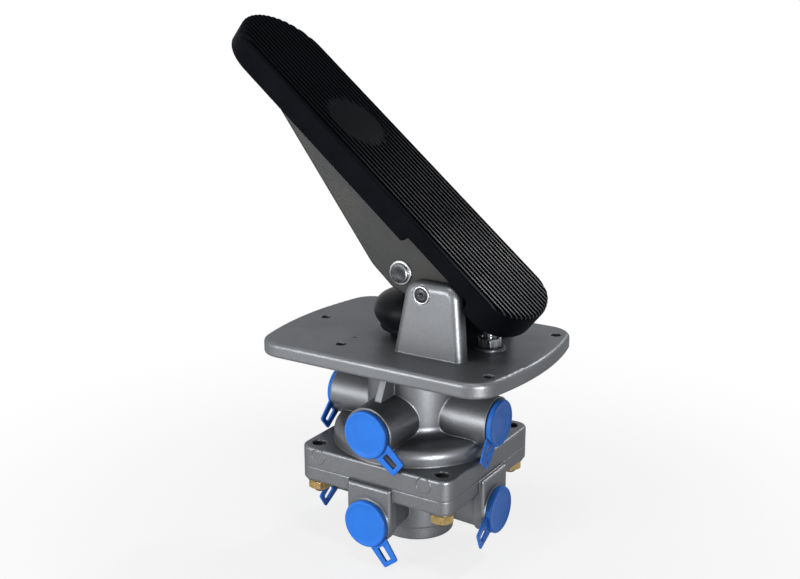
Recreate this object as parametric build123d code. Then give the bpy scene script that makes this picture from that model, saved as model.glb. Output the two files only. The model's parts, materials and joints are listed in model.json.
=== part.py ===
from build123d import *
import os
from math import atan2, cos, degrees, hypot, radians, sin, sqrt, tan

# Foot brake valve, in millimetres, +Z up.
# The origin lies on the valve axis, in the mouth of the exhaust snout. The pedal's toe points to -X and
# its heel to +X, and the pivot pin runs along Y. The valve works from the top down: the pedal's roller
# presses the plunger, a rubber spring presses the primary piston, and its air moves the relay piston.

# Valve body levels and outline
joint_z = 47.5
lower_flange_t = 9.0
upper_flange_t = 12.5
flange_half = 52.0
flange_corner_r = 8.0
cast_edge_r = 1.5
dome_r = 51.0
dome_height = 11.0
dome_shoulder_r = 6.0
column_r = 30.0
column_root_r = 5.0
top_flange_r = 41.0
top_flange_t = 5.5
snout_r = 23.0
snout_collar_r = 24.0
snout_collar_z = 8.0

# Ports
upper_port_drop = 1.0
lower_port_z = 24.0
upper_reach = 54.5
lower_reach = 55.5
boss_end_r = 15.5
boss_root_r = 17.0
block_half = 15.0
block_depth = 7.0
block_low_z = 10.5
block_corner_r = 13.0
block_edge_r = 2.0
block_top_drop = 0.4
block_face_drop = 0.5
block_ring_r = 14.5
arm_low_z = 11.0
arm_end_half = 13.2
arm_root_half = 7.0
arm_root_reach = 16.0
arm_end_sink = 1.0
port_thread_r = 10.2
port_thread_depth = 14.0
passage_r = 3.2
passage_land = 1.0
supply_side = "front"
signal_r = 1.6
signal_ring_r = 18.5
signal_turn = 135.0
gusset_t = 4.5
gusset_top_reach = 37.0
gusset_low_reach = 45.0
gusset_sink = 3.0
weld_overlap = 1.0

# Mounting plate
plate_t = 9.0
plate_half_x = 83.5
plate_half_y = 60.0
plate_end_bulge = 9.0
plate_corner_r = 17.0
plate_pocket_depth = 4.0
plate_rim = 6.0
plate_rib_t = 4.0
seat_recess = 1.0
seat_recess_gap = 1.0
plate_rib_turns = (0, 32, 90, 148, 180, 212, 270, 328)
plate_edge_r = 2.5
heel_hole_x = 71.0
heel_hole_y = 43.0
toe_hole_x = -68.0
side_hole_x = -28.5
side_hole_y = 39.5
plate_hole_r = 3.3
plate_boss_r = 8.0
drip_hole_y = 24.5
drip_hole_r = 1.1

# Ears and pivot
pivot_x = 23.0
pivot_rise = 36.0
ear_outer_y = 34.5
ear_t = 8.0
ear_toe_x = 3.5
ear_heel_x = 49.0
ear_top_toe_x = 12.5
ear_top_heel_x = 45.5
ear_above_pivot = 7.0
ear_corner_r = 9.0
ear_edge_r = 4.5
pin_r = 4.0
pin_clearance = 0.05
pin_proud = 0.8
bush_wall = 1.2
bush_proud = 0.5

# Stop screw under the heel
stop_side_gap = 0.2
stop_screw_r = 4.0
stop_pad_r = 9.0
stop_pad_h = 1.5
stop_nut_af = 13.0
stop_nut_h = 5.5
stop_gap = 0.3
stop_head_depth = 3.0
stop_lug_rise = 20.5

# Pedal, in its own directions: u runs from heel to toe along the deck, n stands square off it
pedal_slope = 39.6
pad_half_y = 32.0
pad_top_n = 27.5
pad_toe_u = 202.5
pad_heel_u = -51.0
pad_heel_arc_r = 46.0
pad_heel_corner_r = 18.0
pad_skirt_n = 12.5
pad_heel_skirt_n = 11.0
pad_notch_n = 17.3
pad_notch_toe_u = 29.0
pad_notch_heel_u = -22.5
pad_skirt_t = 3.0
pad_edge_r = 2.5
rib_count = 21
rib_pitch = 2.9
groove_w = 1.5
groove_depth = 1.4
deck_top_n = 23.0
deck_t = 4.5
deck_clearance = 0.2
web_outer_y = 25.5
web_t = 4.0
web_toe_u = 141.0
web_toe_n = 9.0
web_low_u = 37.0
web_low_n = -15.7
web_low_r = 30.0
web_heel_u = -32.0
web_heel_n = 12.5
pivot_lobe_r = 10.0
roller_lobe_r = 10.5
brace_us = (62.0, 104.0)
brace_t = 4.0
stop_lug_w = 16.0
stop_lug_l = 13.0

# Roller and plunger
roller_x = 4.0
roller_rise = 44.5
roller_r = 8.5
roller_half_y = 12.0
roller_hub_r = 6.5
roller_hub_clearance = 0.4
roller_pin_head_r = 5.8
roller_pin_head_t = 3.0
clip_r = 7.0
clip_t = 1.0
clip_gap = 0.1
contact_gap = 0.3
plunger_r = 7.0
plunger_head_r = 12.0
plunger_head_t = 4.5
plunger_seat_r = 17.0
plunger_seat_t = 4.0
plunger_travel_room = 7.5
guide_wall = 4.0
guide_clearance = 0.05
guide_rise = 4.0
guide_flange_r = 15.0
guide_flange_t = 2.5

# Rubber boot over the plunger
boot_wall = 1.8
boot_foot_r = 22.0
boot_foot_t = 3.0
boot_waist_r = 19.5
boot_waist_rise = 5.5
boot_bulge_r = 26.0
boot_bulge_rise = 16.0
boot_shoulder_rise = 26.5
boot_neck_rise = 30.5
boot_clearance = 0.2

# Primary piston, its springs and valve
piston_bore_r = 22.0
piston_clearance = 0.05
piston_skirt_t = 3.2
piston_rest_gap = 7.5
piston_floor_t = 4.5
piston_height = 14.0
upper_chamber_height = 20.0
seat_web_t = 2.0
seat_hole_r = 9.0
stem_r = 6.2
stem_bore_r = 3.8
exhaust_lift = 1.2
valve_gap = 0.05
valve_r = 11.5
valve_t = 2.5
valve_rubber_t = 1.5
valve_tube_r = 6.2
valve_chamber_r = 15.0
valve_guide_t = 3.5
valve_tube_l = 12.0
guide_ring_t = 1.2
guide_ring_bite = 1.2
guide_ring_w = 3.2
guide_ring_mouth = 5.0
ring_clearance = 0.1

# Relay piston and secondary valve
relay_r = 38.0
relay_clearance = 0.05
relay_t = 7.0
relay_rest_gap = 3.5
relay_hub_r = 14.0
relay_hub_depth = 4.0
relay_rim_t = 5.0
relay_recess = 2.5
relay_head_room = 2.5
lower_chamber_r = 18.0
lower_seat_z = 30.0
snout_mouth_r = 16.5
snout_mouth_depth = 5.0
grille_r = 15.8
grille_seat_depth = 8.0
grille_t = 1.5
grille_hole_r = 3.0
grille_ring_r = 9.0
grille_holes = 6
flap_r = 13.5
flap_t = 1.2
flap_stalk_r = 1.8
flap_button_r = 3.0

# Seals and springs
seal_t = 2.6
seal_side_gap = 0.2
seal_clearance = 0.02
joint_seal_r = 43.0
valve_wire_t = 1.5
valve_spring_turns = 3.0
return_wire_t = 1.3
return_spring_turns = 2.0
relay_wire_t = 2.0
relay_spring_turns = 4.0
spring_side_gap = 1.0
rubber_spring_h = 11.5
rubber_spring_waist_r = 11.0
rubber_spring_end_r = 13.0
rubber_spring_hole_r = 2.5

# Fasteners
stud_offset = 43.0
stud_r = 4.0
stud_hole_r = 4.3
stud_nut_af = 13.0
stud_nut_h = 5.5
stud_tail = 2.5
stud_top_drop = 2.0
washer_r = 8.0
washer_t = 1.2
small_chamfer = 0.8
plate_screw_ring_r = 35.5
plate_screw_r = 2.5
plate_screw_hole_r = 2.8
plate_screw_af = 8.0
plate_screw_head_h = 3.5
plate_screw_bite = 6.5
plate_screw_tip_gap = 0.5
plate_screw_turns = (45, 135, 225)

# Port plugs
plug_r = 14.2
plug_t = 3.5
plug_spigot_wall = 1.2
plug_spigot_depth = 7.0
plug_spigot_clearance = 0.15
tab_length = 13.5
tab_width = 11.0
tab_window_l = 9.5
tab_window_w = 5.0
tab_frame = 2.5
tab_t = 1.6
tab_edge_overlap = 1.5

# Each port: turn about the valve axis, and lean of its plug's pull tab from straight down
port_turn = {"right": 0.0, "front": -90.0, "left": 180.0}
tab_lean = {
    ("upper", "right"): -42.0,
    ("upper", "front"): 51.0,
    ("upper", "left"): 50.0,
    ("lower", "right"): -67.0,
    ("lower", "front"): 38.0,
    ("lower", "left"): 57.0,
}

# Worked-out levels, from the joint of the two castings upwards
lower_flange_z = joint_z - lower_flange_t
upper_flange_z = joint_z + upper_flange_t
dome_z = upper_flange_z + dome_height
relay_z = joint_z + relay_rest_gap
control_roof_z = relay_z + relay_t + relay_head_room
piston_bore_floor_z = control_roof_z + upper_chamber_height
upper_port_z = piston_bore_floor_z - upper_port_drop
piston_floor_z = piston_bore_floor_z + piston_rest_gap
piston_top_z = piston_floor_z + piston_height
plunger_seat_z = piston_floor_z + piston_floor_t + rubber_spring_h
plate_z = plunger_seat_z + plunger_seat_t + plunger_travel_room
plate_top_z = plate_z + plate_t
body_seat_z = plate_z + seat_recess
top_flange_z = plate_z - top_flange_t
pivot_z = plate_top_z + pivot_rise
roller_z = plate_top_z + roller_rise
guide_top_z = plate_top_z + guide_rise
boot_waist_z = plate_top_z + boot_waist_rise
boot_bulge_z = plate_top_z + boot_bulge_rise
boot_shoulder_z = plate_top_z + boot_shoulder_rise
boot_neck_z = plate_top_z + boot_neck_rise
stop_lug_z = plate_top_z + stop_lug_rise
stop_x = top_flange_r + stop_nut_af / sqrt(3) + stop_side_gap
ear_inner_y = ear_outer_y - ear_t
ear_top_z = pivot_z + ear_above_pivot
web_inner_y = web_outer_y - web_t
deck_z_n = deck_top_n - deck_t
plunger_top_z = roller_z - roller_r - contact_gap
plunger_head_z = plunger_top_z - plunger_head_t
bush_r = pin_r + pin_clearance + bush_wall
seat_z = piston_bore_floor_z - seat_web_t
stem_z = seat_z + exhaust_lift
valve_top_z = seat_z - valve_gap
valve_z = valve_top_z - valve_rubber_t - valve_t
valve_guide_z = valve_z - valve_tube_l
lower_web_z = lower_seat_z - seat_web_t
lower_valve_top_z = lower_web_z - valve_gap
lower_valve_z = lower_valve_top_z - valve_rubber_t - valve_t
lower_guide_z = lower_valve_z - valve_tube_l
grille_z = grille_seat_depth - grille_t
valve_spring_r = valve_tube_r + valve_wire_t / 2 + spring_side_gap
piston_seal_z = piston_floor_z + piston_floor_t / 2
relay_seal_z = relay_z + relay_t / 2
lower_stem_z = lower_web_z + exhaust_lift

parts = {}


def ring(outer, inner, low, high):
    """A plain ring about the valve axis between two levels; an inner radius of 0 gives a solid disc."""
    solid = Pos(0, 0, (low + high) / 2) * Cylinder(outer, high - low)
    if inner > 0:
        solid -= Pos(0, 0, (low + high) / 2) * Cylinder(inner, high - low + 1)
    return solid


def lathe(points):
    """A solid turned about the valve axis from radius and height points."""
    outline = Polyline(*[(r, 0, z) for r, z in points], close=True)
    return revolve(make_face(outline), Axis.Z)


def cross_rod(radius, y_low, y_high, x, z):
    """A round bar along Y between two faces."""
    rod = Cylinder(radius, y_high - y_low)
    return Pos(x, (y_low + y_high) / 2, z) * Rot(90, 0, 0) * rod


def at_port(solid, side, level):
    """Places a solid that is drawn along +X, with its axis at height 0, at one port."""
    return Rot(0, 0, port_turn[side]) * Pos(0, 0, level) * solid


def bar(radius, start, end):
    """A round bar along +X from one place to another, at height 0."""
    return Pos((start + end) / 2, 0, 0) * Rot(0, 90, 0) * Cylinder(radius, end - start)


def hexagon(across_flats, low, high):
    """A hexagonal prism about the valve axis between two levels."""
    profile = RegularPolygon(across_flats / 2, 6, major_radius=False)
    return Pos(0, 0, low) * extrude(profile, high - low)


def coil(mean_r, low, high, wire_t, turns):
    """A compression spring of square wire standing about the valve axis between two levels."""
    rise = high - low - 2 * wire_t
    path = Helix(rise / turns, rise, mean_r, center=(0, 0, low + wire_t))
    section = Plane(path @ 0, z_dir=path % 0) * Rectangle(wire_t, wire_t)
    return sweep(section, path, is_frenet=True)


def seal(outer_r, height):
    """A square-section seal ring about the valve axis."""
    return ring(outer_r, outer_r - seal_t, height - seal_t / 2, height + seal_t / 2)


def seal_groove(seal_outer_r, height):
    """What is cut from a piston for its seal ring."""
    half = seal_t / 2 + seal_side_gap
    return ring(seal_outer_r + seal_t, seal_outer_r - seal_t, height - half, height + half)


def to_pedal(solid):
    """Turns a solid drawn with u along X and n along Z into its place on the pedal's pivot."""
    return Pos(pivot_x, 0, pivot_z) * Rot(0, pedal_slope, 0) * mirror(solid, Plane.YZ)


def pedal_uv(x, z):
    """The pedal's u and n of a point given in the valve's own X and Z."""
    dx = x - pivot_x
    dz = z - pivot_z
    slope = radians(pedal_slope)
    return -dx * cos(slope) + dz * sin(slope), dx * sin(slope) + dz * cos(slope)


def pedal_prism(points, y_low, y_high):
    """A prism along Y from an outline of u and n points, still in pedal directions."""
    outline = make_face(Polyline(*[(u, y_low, n) for u, n in points], close=True))
    return extrude(outline, y_high - y_low, dir=(0, 1, 0))


def pedal_rod(radius, y_low, y_high, u, n):
    """A round bar along Y in pedal directions."""
    return cross_rod(radius, y_low, y_high, u, n)


# Valve body castings
def flange_blank(low, high):
    profile = RectangleRounded(2 * flange_half, 2 * flange_half, flange_corner_r)
    return Pos(0, 0, low) * extrude(profile, high - low)


def at_studs(solid):
    return [Pos(x * stud_offset, y * stud_offset, 0) * solid for x in (-1, 1) for y in (-1, 1)]


def upper_body():
    flange = flange_blank(joint_z, upper_flange_z)
    flange = fillet(flange.faces().sort_by(Axis.Z)[-1].edges(), cast_edge_r)
    shoulder = dome_r - dome_shoulder_r
    root_r = column_r + column_root_r
    with BuildPart() as turned:
        with BuildSketch(Plane.XZ):
            with BuildLine():
                Line((0, joint_z), (dome_r, joint_z))
                Line((dome_r, joint_z), (dome_r, dome_z - dome_shoulder_r))
                RadiusArc((dome_r, dome_z - dome_shoulder_r), (shoulder, dome_z), -dome_shoulder_r)
                Line((shoulder, dome_z), (root_r, dome_z))
                RadiusArc((root_r, dome_z), (column_r, dome_z + column_root_r), column_root_r)
                Line((column_r, dome_z + column_root_r), (column_r, top_flange_z))
                Line((column_r, top_flange_z), (top_flange_r, top_flange_z))
                Line((top_flange_r, top_flange_z), (top_flange_r, body_seat_z))
                Line((top_flange_r, body_seat_z), (0, body_seat_z))
                Line((0, body_seat_z), (0, joint_z))
            make_face()
        revolve(axis=Axis.Z)
    body = flange + turned.part
    boss_root = column_r / 2
    for side in port_turn:
        boss = Pos((upper_reach + boss_root) / 2, 0, 0) * Rot(0, 90, 0) * Cone(
            boss_root_r, boss_end_r, upper_reach - boss_root
        )
        body += at_port(boss, side, upper_port_z)
        web = Polyline(
            (column_r - gusset_sink, 0, top_flange_z),
            (gusset_top_reach, 0, top_flange_z),
            (gusset_low_reach, 0, upper_port_z + boss_end_r - weld_overlap),
            (column_r - gusset_sink, 0, upper_port_z + boss_end_r - weld_overlap),
            close=True,
        )
        gusset = extrude(make_face(web), gusset_t / 2, both=True)
        body += at_port(gusset, side, 0)
    body -= ring(relay_r, 0, joint_z - 1, control_roof_z)
    body -= ring(valve_chamber_r, 0, control_roof_z - 1, seat_z)
    body -= ring(seat_hole_r, 0, seat_z - 1, piston_bore_floor_z + 1)
    body -= ring(piston_bore_r, 0, piston_bore_floor_z, body_seat_z + 1)
    body -= valve_ring_groove(valve_guide_z)
    supply_z = seat_z - passage_r - passage_land
    delivery_z = piston_bore_floor_z + passage_r
    supply = (valve_chamber_r, supply_z)
    body -= port_drillings(upper_reach, upper_port_z, supply, (piston_bore_r, delivery_z))
    body -= Rot(0, 0, signal_turn) * Pos(signal_ring_r, 0, 0) * ring(
        signal_r, 0, control_roof_z - 1, piston_bore_floor_z + 1
    )
    body -= at_studs(ring(stud_hole_r, 0, joint_z - 1, upper_flange_z + 1))
    for turn in plate_screw_turns:
        body -= Rot(0, 0, turn) * Pos(plate_screw_ring_r, 0, 0) * ring(
            plate_screw_hole_r, 0, top_flange_z - 1, body_seat_z + 1
        )
    body -= joint_seal_groove()
    return body


def port_drillings(reach, level, supply, delivery):
    """The threaded mouths of three ports and the passages to the radius and level of each chamber."""
    drillings = []
    for side in port_turn:
        drillings.append(at_port(bar(port_thread_r, reach - port_thread_depth, reach + 1), side, level))
        inner, height = supply if side == supply_side else delivery
        drillings.append(at_port(bar(passage_r, inner - 2, reach - port_thread_depth + 1), side, height))
    return drillings


def joint_seal_groove():
    inner = joint_seal_r - seal_t - seal_side_gap
    return ring(joint_seal_r + seal_side_gap, inner, joint_z - 1, joint_z + seal_t)


def valve_ring_groove(guide_z):
    """The circlip groove under a valve guide."""
    top = guide_z - ring_clearance / 2
    return ring(valve_chamber_r + guide_ring_bite, 0, top - guide_ring_t - ring_clearance, top)


def arm_section(reach, half):
    """The arm's cross-section at one reach: straight sides on a round bottom, up to the flange."""
    middle = arm_low_z + half
    top = lower_flange_z + weld_overlap
    edges = [
        Line((reach, half, middle), (reach, half, top)),
        Line((reach, half, top), (reach, -half, top)),
        Line((reach, -half, top), (reach, -half, middle)),
        ThreePointArc((reach, -half, middle), (reach, 0, arm_low_z), (reach, half, middle)),
    ]
    return make_face(edges)


def lower_port_block():
    """A port block drawn along +X: a round-bottomed block on an arm that widens outwards."""
    face_x = lower_reach - block_face_drop
    height = joint_z - block_top_drop - block_low_z
    block = Box(block_depth, 2 * block_half, height)
    block = Pos(face_x - block_depth / 2, 0, block_low_z + height / 2) * block
    block = fillet(block.edges().filter_by(Axis.X).group_by(Axis.Z)[0], block_corner_r)
    block = fillet(block.faces().sort_by(Axis.X)[-1].edges(), block_edge_r)
    root = arm_section(arm_root_reach, arm_root_half)
    end = arm_section(face_x - block_depth + arm_end_sink, arm_end_half)
    arm = loft([root, end], ruled=True)
    boss = Pos(0, 0, lower_port_z) * bar(block_ring_r, face_x - 1, lower_reach)
    return arm + block + boss


def lower_body():
    body = flange_blank(lower_flange_z, joint_z)
    body = fillet(body.faces().sort_by(Axis.Z)[0].edges(), cast_edge_r)
    body += ring(snout_r, 0, 0, lower_flange_z + 1)
    body += ring(snout_collar_r, 0, snout_collar_z, lower_flange_z + 1)
    for side in port_turn:
        body += at_port(lower_port_block(), side, 0)
    body -= ring(lower_chamber_r, 0, lower_seat_z, joint_z + 1)
    body -= ring(seat_hole_r, 0, lower_web_z - 1, lower_seat_z + 1)
    body -= ring(valve_chamber_r, 0, -1, lower_web_z)
    body -= ring(snout_mouth_r, 0, -1, snout_mouth_depth)
    body -= ring(grille_r, 0, snout_mouth_depth - 1, grille_seat_depth)
    body -= valve_ring_groove(lower_guide_z)
    supply_z = lower_web_z - passage_r - passage_land
    delivery_z = lower_seat_z + passage_r
    supply = (valve_chamber_r, supply_z)
    body -= port_drillings(lower_reach, lower_port_z, supply, (lower_chamber_r, delivery_z))
    body -= at_studs(ring(stud_hole_r, 0, lower_flange_z - 1, joint_z + 1))
    return body


# Mounting plate with the pivot's ears
def plate_outline(inset=0.0):
    x_side = plate_half_x - plate_end_bulge
    toe_arc = ((-x_side, plate_half_y), (-plate_half_x, 0), (-x_side, -plate_half_y))
    heel_arc = ((x_side, -plate_half_y), (plate_half_x, 0), (x_side, plate_half_y))
    edges = [
        Line((x_side, plate_half_y), (-x_side, plate_half_y)),
        ThreePointArc(*toe_arc),
        Line((-x_side, -plate_half_y), (x_side, -plate_half_y)),
        ThreePointArc(*heel_arc),
    ]
    face = make_face(edges)
    face = fillet(face.vertices(), plate_corner_r)
    return offset(face, -inset) if inset else face


def ear(side):
    outline = make_face(
        Polyline(
            (ear_toe_x, 0, plate_top_z - 1),
            (ear_heel_x, 0, plate_top_z - 1),
            (ear_top_heel_x, 0, ear_top_z),
            (ear_top_toe_x, 0, ear_top_z),
            close=True,
        )
    )
    solid = Pos(0, side * ear_inner_y, 0) * extrude(outline, ear_t, dir=(0, side, 0))
    corners = solid.edges().filter_by(Axis.Y).group_by(Axis.Z)[-1]
    solid = fillet(corners, ear_corner_r)
    outer_face = solid.faces().sort_by(Axis.Y)[0 if side < 0 else -1]
    rim = outer_face.edges().filter_by(lambda edge: edge.center().Z > plate_top_z)
    return fillet(rim, ear_edge_r)


def plate_holes():
    """Places of the plate's own mounting holes."""
    places = [(toe_hole_x, 0)]
    for y in (-1, 1):
        places.append((heel_hole_x, y * heel_hole_y))
        places.append((side_hole_x, y * side_hole_y))
    return places


def mounting_plate():
    plate = Pos(0, 0, plate_z) * extrude(plate_outline(), plate_t)
    plate = fillet(plate.faces().sort_by(Axis.Z)[-1].edges(), plate_edge_r)
    plate = fillet(plate.faces().sort_by(Axis.Z)[0].edges(), cast_edge_r)
    pocket = plate_outline(plate_rim)
    pocket -= Circle(top_flange_r + plate_rib_t)
    for x, y in plate_holes():
        pocket -= Pos(x, y) * Circle(plate_boss_r)
    pocket -= Pos(stop_x, 0) * Circle(stop_pad_r)
    for turn in plate_rib_turns:
        pocket -= Rot(0, 0, turn) * Pos(plate_half_x / 2, 0) * Rectangle(plate_half_x, plate_rib_t)
    plate -= Pos(0, 0, plate_z - 1) * extrude(pocket, plate_pocket_depth + 1)
    stop_head_r = stop_nut_af / sqrt(3)
    plate -= ring(top_flange_r + seat_recess_gap, 0, plate_z - 1, body_seat_z)
    plate -= Pos(stop_x, 0, 0) * ring(stop_head_r + seat_recess_gap, 0, plate_z - 1, body_seat_z)
    plate += Pos(stop_x, 0, 0) * ring(stop_pad_r, 0, plate_top_z - 1, plate_top_z + stop_pad_h)
    for side in (-1, 1):
        plate += ear(side)
    for x, y in plate_holes():
        plate -= Pos(x, y, 0) * ring(plate_hole_r, 0, plate_z - 1, plate_top_z + 1)
    plate -= Pos(side_hole_x, -drip_hole_y, 0) * ring(drip_hole_r, 0, plate_z - 1, plate_top_z + 1)
    plate -= Pos(stop_x, 0, 0) * ring(stop_screw_r, 0, plate_z - 1, plate_top_z + stop_pad_h + 1)
    plate -= ring(plunger_r + guide_clearance + guide_wall, 0, plate_z - 1, plate_top_z + 1)
    plate -= cross_rod(bush_r, -ear_outer_y - 1, ear_outer_y + 1, pivot_x, pivot_z)
    for turn in plate_screw_turns:
        plate -= Rot(0, 0, turn) * Pos(plate_screw_ring_r, 0, 0) * ring(
            plate_screw_r, 0, plate_z - 1, body_seat_z + plate_screw_bite
        )
    return plate


def guide_bush():
    outer = plunger_r + guide_clearance + guide_wall
    bush = ring(outer, plunger_r + guide_clearance, body_seat_z, guide_top_z)
    flange_high = plate_top_z + guide_flange_t
    return bush + ring(guide_flange_r, plunger_r + guide_clearance, plate_top_z, flange_high)


# Pivot pin and its bushes
def pivot_pin():
    reach = ear_outer_y + pin_proud
    pin = cross_rod(pin_r, -reach, reach, pivot_x, pivot_z)
    return chamfer(pin.edges(), pin_proud / 2)


def pivot_bushes():
    bushes = []
    for side in (-1, 1):
        low, high = sorted((side * ear_inner_y, side * (ear_outer_y + bush_proud)))
        bush = cross_rod(bush_r, low, high, pivot_x, pivot_z)
        bushes.append(bush - cross_rod(pin_r, low - 1, high + 1, pivot_x, pivot_z))
    return Compound(bushes)


# Stop screw and its lock nut
def stop_screw():
    low = plate_z - stop_head_depth
    screw = ring(stop_screw_r, 0, body_seat_z, stop_lug_z - stop_gap)
    screw = chamfer(screw.edges().sort_by(Axis.Z)[-1], small_chamfer)
    return Pos(stop_x, 0, 0) * (screw + hexagon(stop_nut_af, low, body_seat_z))


def stop_nut():
    low = plate_top_z + stop_pad_h
    nut = hexagon(stop_nut_af, low, low + stop_nut_h)
    return Pos(stop_x, 0, 0) * (nut - ring(stop_screw_r, 0, low - 1, low + stop_nut_h + 1))


# Pedal
def pad_plan(shrink=0.0):
    """The pad's outline seen square on, u along X."""
    half = pad_half_y - shrink
    toe_centre = pad_toe_u - pad_half_y
    heel_side_u = pad_heel_u + pad_heel_arc_r - sqrt(pad_heel_arc_r**2 - pad_half_y**2)
    heel_tip = pad_heel_u + shrink
    edges = [
        Line((heel_side_u + shrink, half), (toe_centre, half)),
        ThreePointArc((toe_centre, half), (toe_centre + half, 0), (toe_centre, -half)),
        Line((toe_centre, -half), (heel_side_u + shrink, -half)),
        ThreePointArc((heel_side_u + shrink, -half), (heel_tip, 0), (heel_side_u + shrink, half)),
    ]
    face = make_face(edges)
    corners = face.vertices().sort_by(Axis.X)[:2]
    return fillet(corners, pad_heel_corner_r - shrink)


def pad_block(shrink, low, high):
    return Pos(0, 0, low) * extrude(pad_plan(shrink), high - low)


def treadle_pad():
    pad = pad_block(0, pad_heel_skirt_n, pad_top_n)
    pad = fillet(pad.faces().sort_by(Axis.Z)[-1].edges(), pad_edge_r)
    pad -= pad_block(pad_skirt_t, pad_heel_skirt_n - 1, deck_top_n + deck_clearance)
    notch_l = pad_notch_toe_u - pad_notch_heel_u
    notch = Pos((pad_notch_toe_u + pad_notch_heel_u) / 2, 0, pad_notch_n - plate_t / 2) * Box(
        notch_l, 3 * pad_half_y, plate_t
    )
    notch = fillet(notch.edges().filter_by(Axis.Y).group_by(Axis.Z)[-1], pad_skirt_t)
    pad -= notch
    toe_l = pad_toe_u - pad_notch_heel_u
    pad -= Pos((pad_toe_u + pad_notch_heel_u) / 2, 0, pad_skirt_n - plate_t / 2) * Box(
        toe_l, 3 * pad_half_y, plate_t
    )
    for i in range(rib_count):
        y = (i - (rib_count - 1) / 2) * rib_pitch
        pad -= Pos((pad_toe_u + pad_heel_u) / 2, y, pad_top_n) * Box(
            pad_toe_u - pad_heel_u + 2, groove_w, 2 * groove_depth
        )
    return to_pedal(pad)


def web_outline():
    """The side web's outline around the roller pin and the pivot, as one face of u and n."""
    roller_u, roller_n = pedal_uv(roller_x, roller_z)
    outline = [
        (web_toe_u, deck_top_n - deck_t / 2),
        (web_toe_u, web_toe_n),
        (web_low_u, web_low_n),
        (roller_u, roller_n - roller_lobe_r),
        (roller_u, roller_n),
        (0, 0),
        (-pivot_lobe_r, 0),
        (web_heel_u, web_heel_n),
        (web_heel_u, deck_top_n - deck_t / 2),
    ]
    return outline, (roller_u, roller_n)


def stop_lug():
    """The block under the heel that rests on the stop screw, its top inside the deck."""
    middle_n = deck_top_n - deck_t / 2
    low_x = stop_x - stop_lug_l / 2
    high_x = stop_x + stop_lug_l / 2
    outline = Polyline(
        (low_x, 0, stop_lug_z),
        (high_x, 0, stop_lug_z),
        (high_x, 0, deck_height(high_x, middle_n)),
        (low_x, 0, deck_height(low_x, middle_n)),
        close=True,
    )
    return extrude(make_face(outline), stop_lug_w / 2, both=True)


def deck_height(x, n):
    """The height at this X of the plane that runs along the pedal at this n."""
    slope = radians(pedal_slope)
    return pivot_z + n / cos(slope) - (x - pivot_x) * tan(slope)


def treadle_arm():
    outline, (roller_u, roller_n) = web_outline()
    arm = pad_block(pad_skirt_t + deck_clearance, deck_z_n, deck_top_n)
    for side in (-1, 1):
        low, high = sorted((side * web_inner_y, side * web_outer_y))
        web = pedal_prism(outline, low, high)
        knee = web.edges().filter_by(Axis.Y).sort_by_distance((web_low_u, (low + high) / 2, web_low_n))[0]
        web = fillet(knee, web_low_r)
        web += pedal_rod(roller_lobe_r, low, high, roller_u, roller_n)
        web += pedal_rod(pivot_lobe_r, low, high, 0, 0)
        span = hypot(roller_u, roller_n)
        tilt = degrees(atan2(roller_n, roller_u))
        bridge = Pos(0, (low + high) / 2, 0) * Rot(0, -tilt, 0) * Pos(span / 2, 0, 0) * Box(
            span, web_t, 2 * pivot_lobe_r
        )
        arm += web + bridge
    for u in brace_us:
        low = web_toe_n + (web_low_n - web_toe_n) * (web_toe_u - u) / (web_toe_u - web_low_u) + brace_t
        arm += Pos(u, 0, (low + deck_top_n) / 2 - deck_t / 4) * Box(
            brace_t, 2 * web_inner_y + 1, deck_top_n - low - deck_t / 2
        )
    toe_wall_high = deck_top_n - deck_t / 2
    arm += Pos(web_toe_u - brace_t / 2, 0, (web_toe_n + toe_wall_high) / 2) * Box(
        brace_t, 2 * web_inner_y + 1, toe_wall_high - web_toe_n
    )
    arm = to_pedal(arm)
    arm += stop_lug()
    arm -= cross_rod(pin_r + pin_clearance, -web_outer_y - 1, web_outer_y + 1, pivot_x, pivot_z)
    arm -= cross_rod(pin_r, -web_outer_y - 1, web_outer_y + 1, roller_x, roller_z)
    return arm


def roller_pin():
    head_y = -web_outer_y - roller_pin_head_t
    head = cross_rod(roller_pin_head_r, head_y, -web_outer_y, roller_x, roller_z)
    head = chamfer(head.edges().sort_by(Axis.Y)[0], small_chamfer)
    tail = web_outer_y + clip_gap + 2 * clip_t
    shank = cross_rod(pin_r, -web_outer_y - 0.5, tail, roller_x, roller_z)
    groove = cross_rod(pin_r + 1, tail - 2 * clip_t, tail - clip_t, roller_x, roller_z)
    groove -= cross_rod(pin_r - 1, tail - 3 * clip_t, tail, roller_x, roller_z)
    return head + shank - groove


def roller_clip():
    low = web_outer_y + clip_gap
    clip = cross_rod(clip_r, low, low + clip_t, roller_x, roller_z)
    clip -= cross_rod(pin_r - 1, low - 1, low + clip_t + 1, roller_x, roller_z)
    mouth_w = 2 * (pin_r - 1)
    return clip - Pos(roller_x, low + clip_t / 2, roller_z - clip_r) * Box(mouth_w, 2 * clip_t, 2 * clip_r)


def roller():
    hub_half = web_inner_y - roller_hub_clearance
    body = cross_rod(roller_hub_r, -hub_half, hub_half, roller_x, roller_z)
    tread = cross_rod(roller_r, -roller_half_y, roller_half_y, roller_x, roller_z)
    tread = chamfer(tread.edges(), small_chamfer)
    return body + tread - cross_rod(pin_r + pin_clearance, -hub_half - 1, hub_half + 1, roller_x, roller_z)


# Plunger, boot and rubber spring
def plunger():
    rod = ring(plunger_r, 0, plunger_seat_z, plunger_top_z)
    head = ring(plunger_head_r, 0, plunger_head_z, plunger_top_z)
    head = chamfer(head.edges(), small_chamfer)
    seat = ring(plunger_seat_r, 0, plunger_seat_z, plunger_seat_z + plunger_seat_t)
    return rod + head + seat


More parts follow.
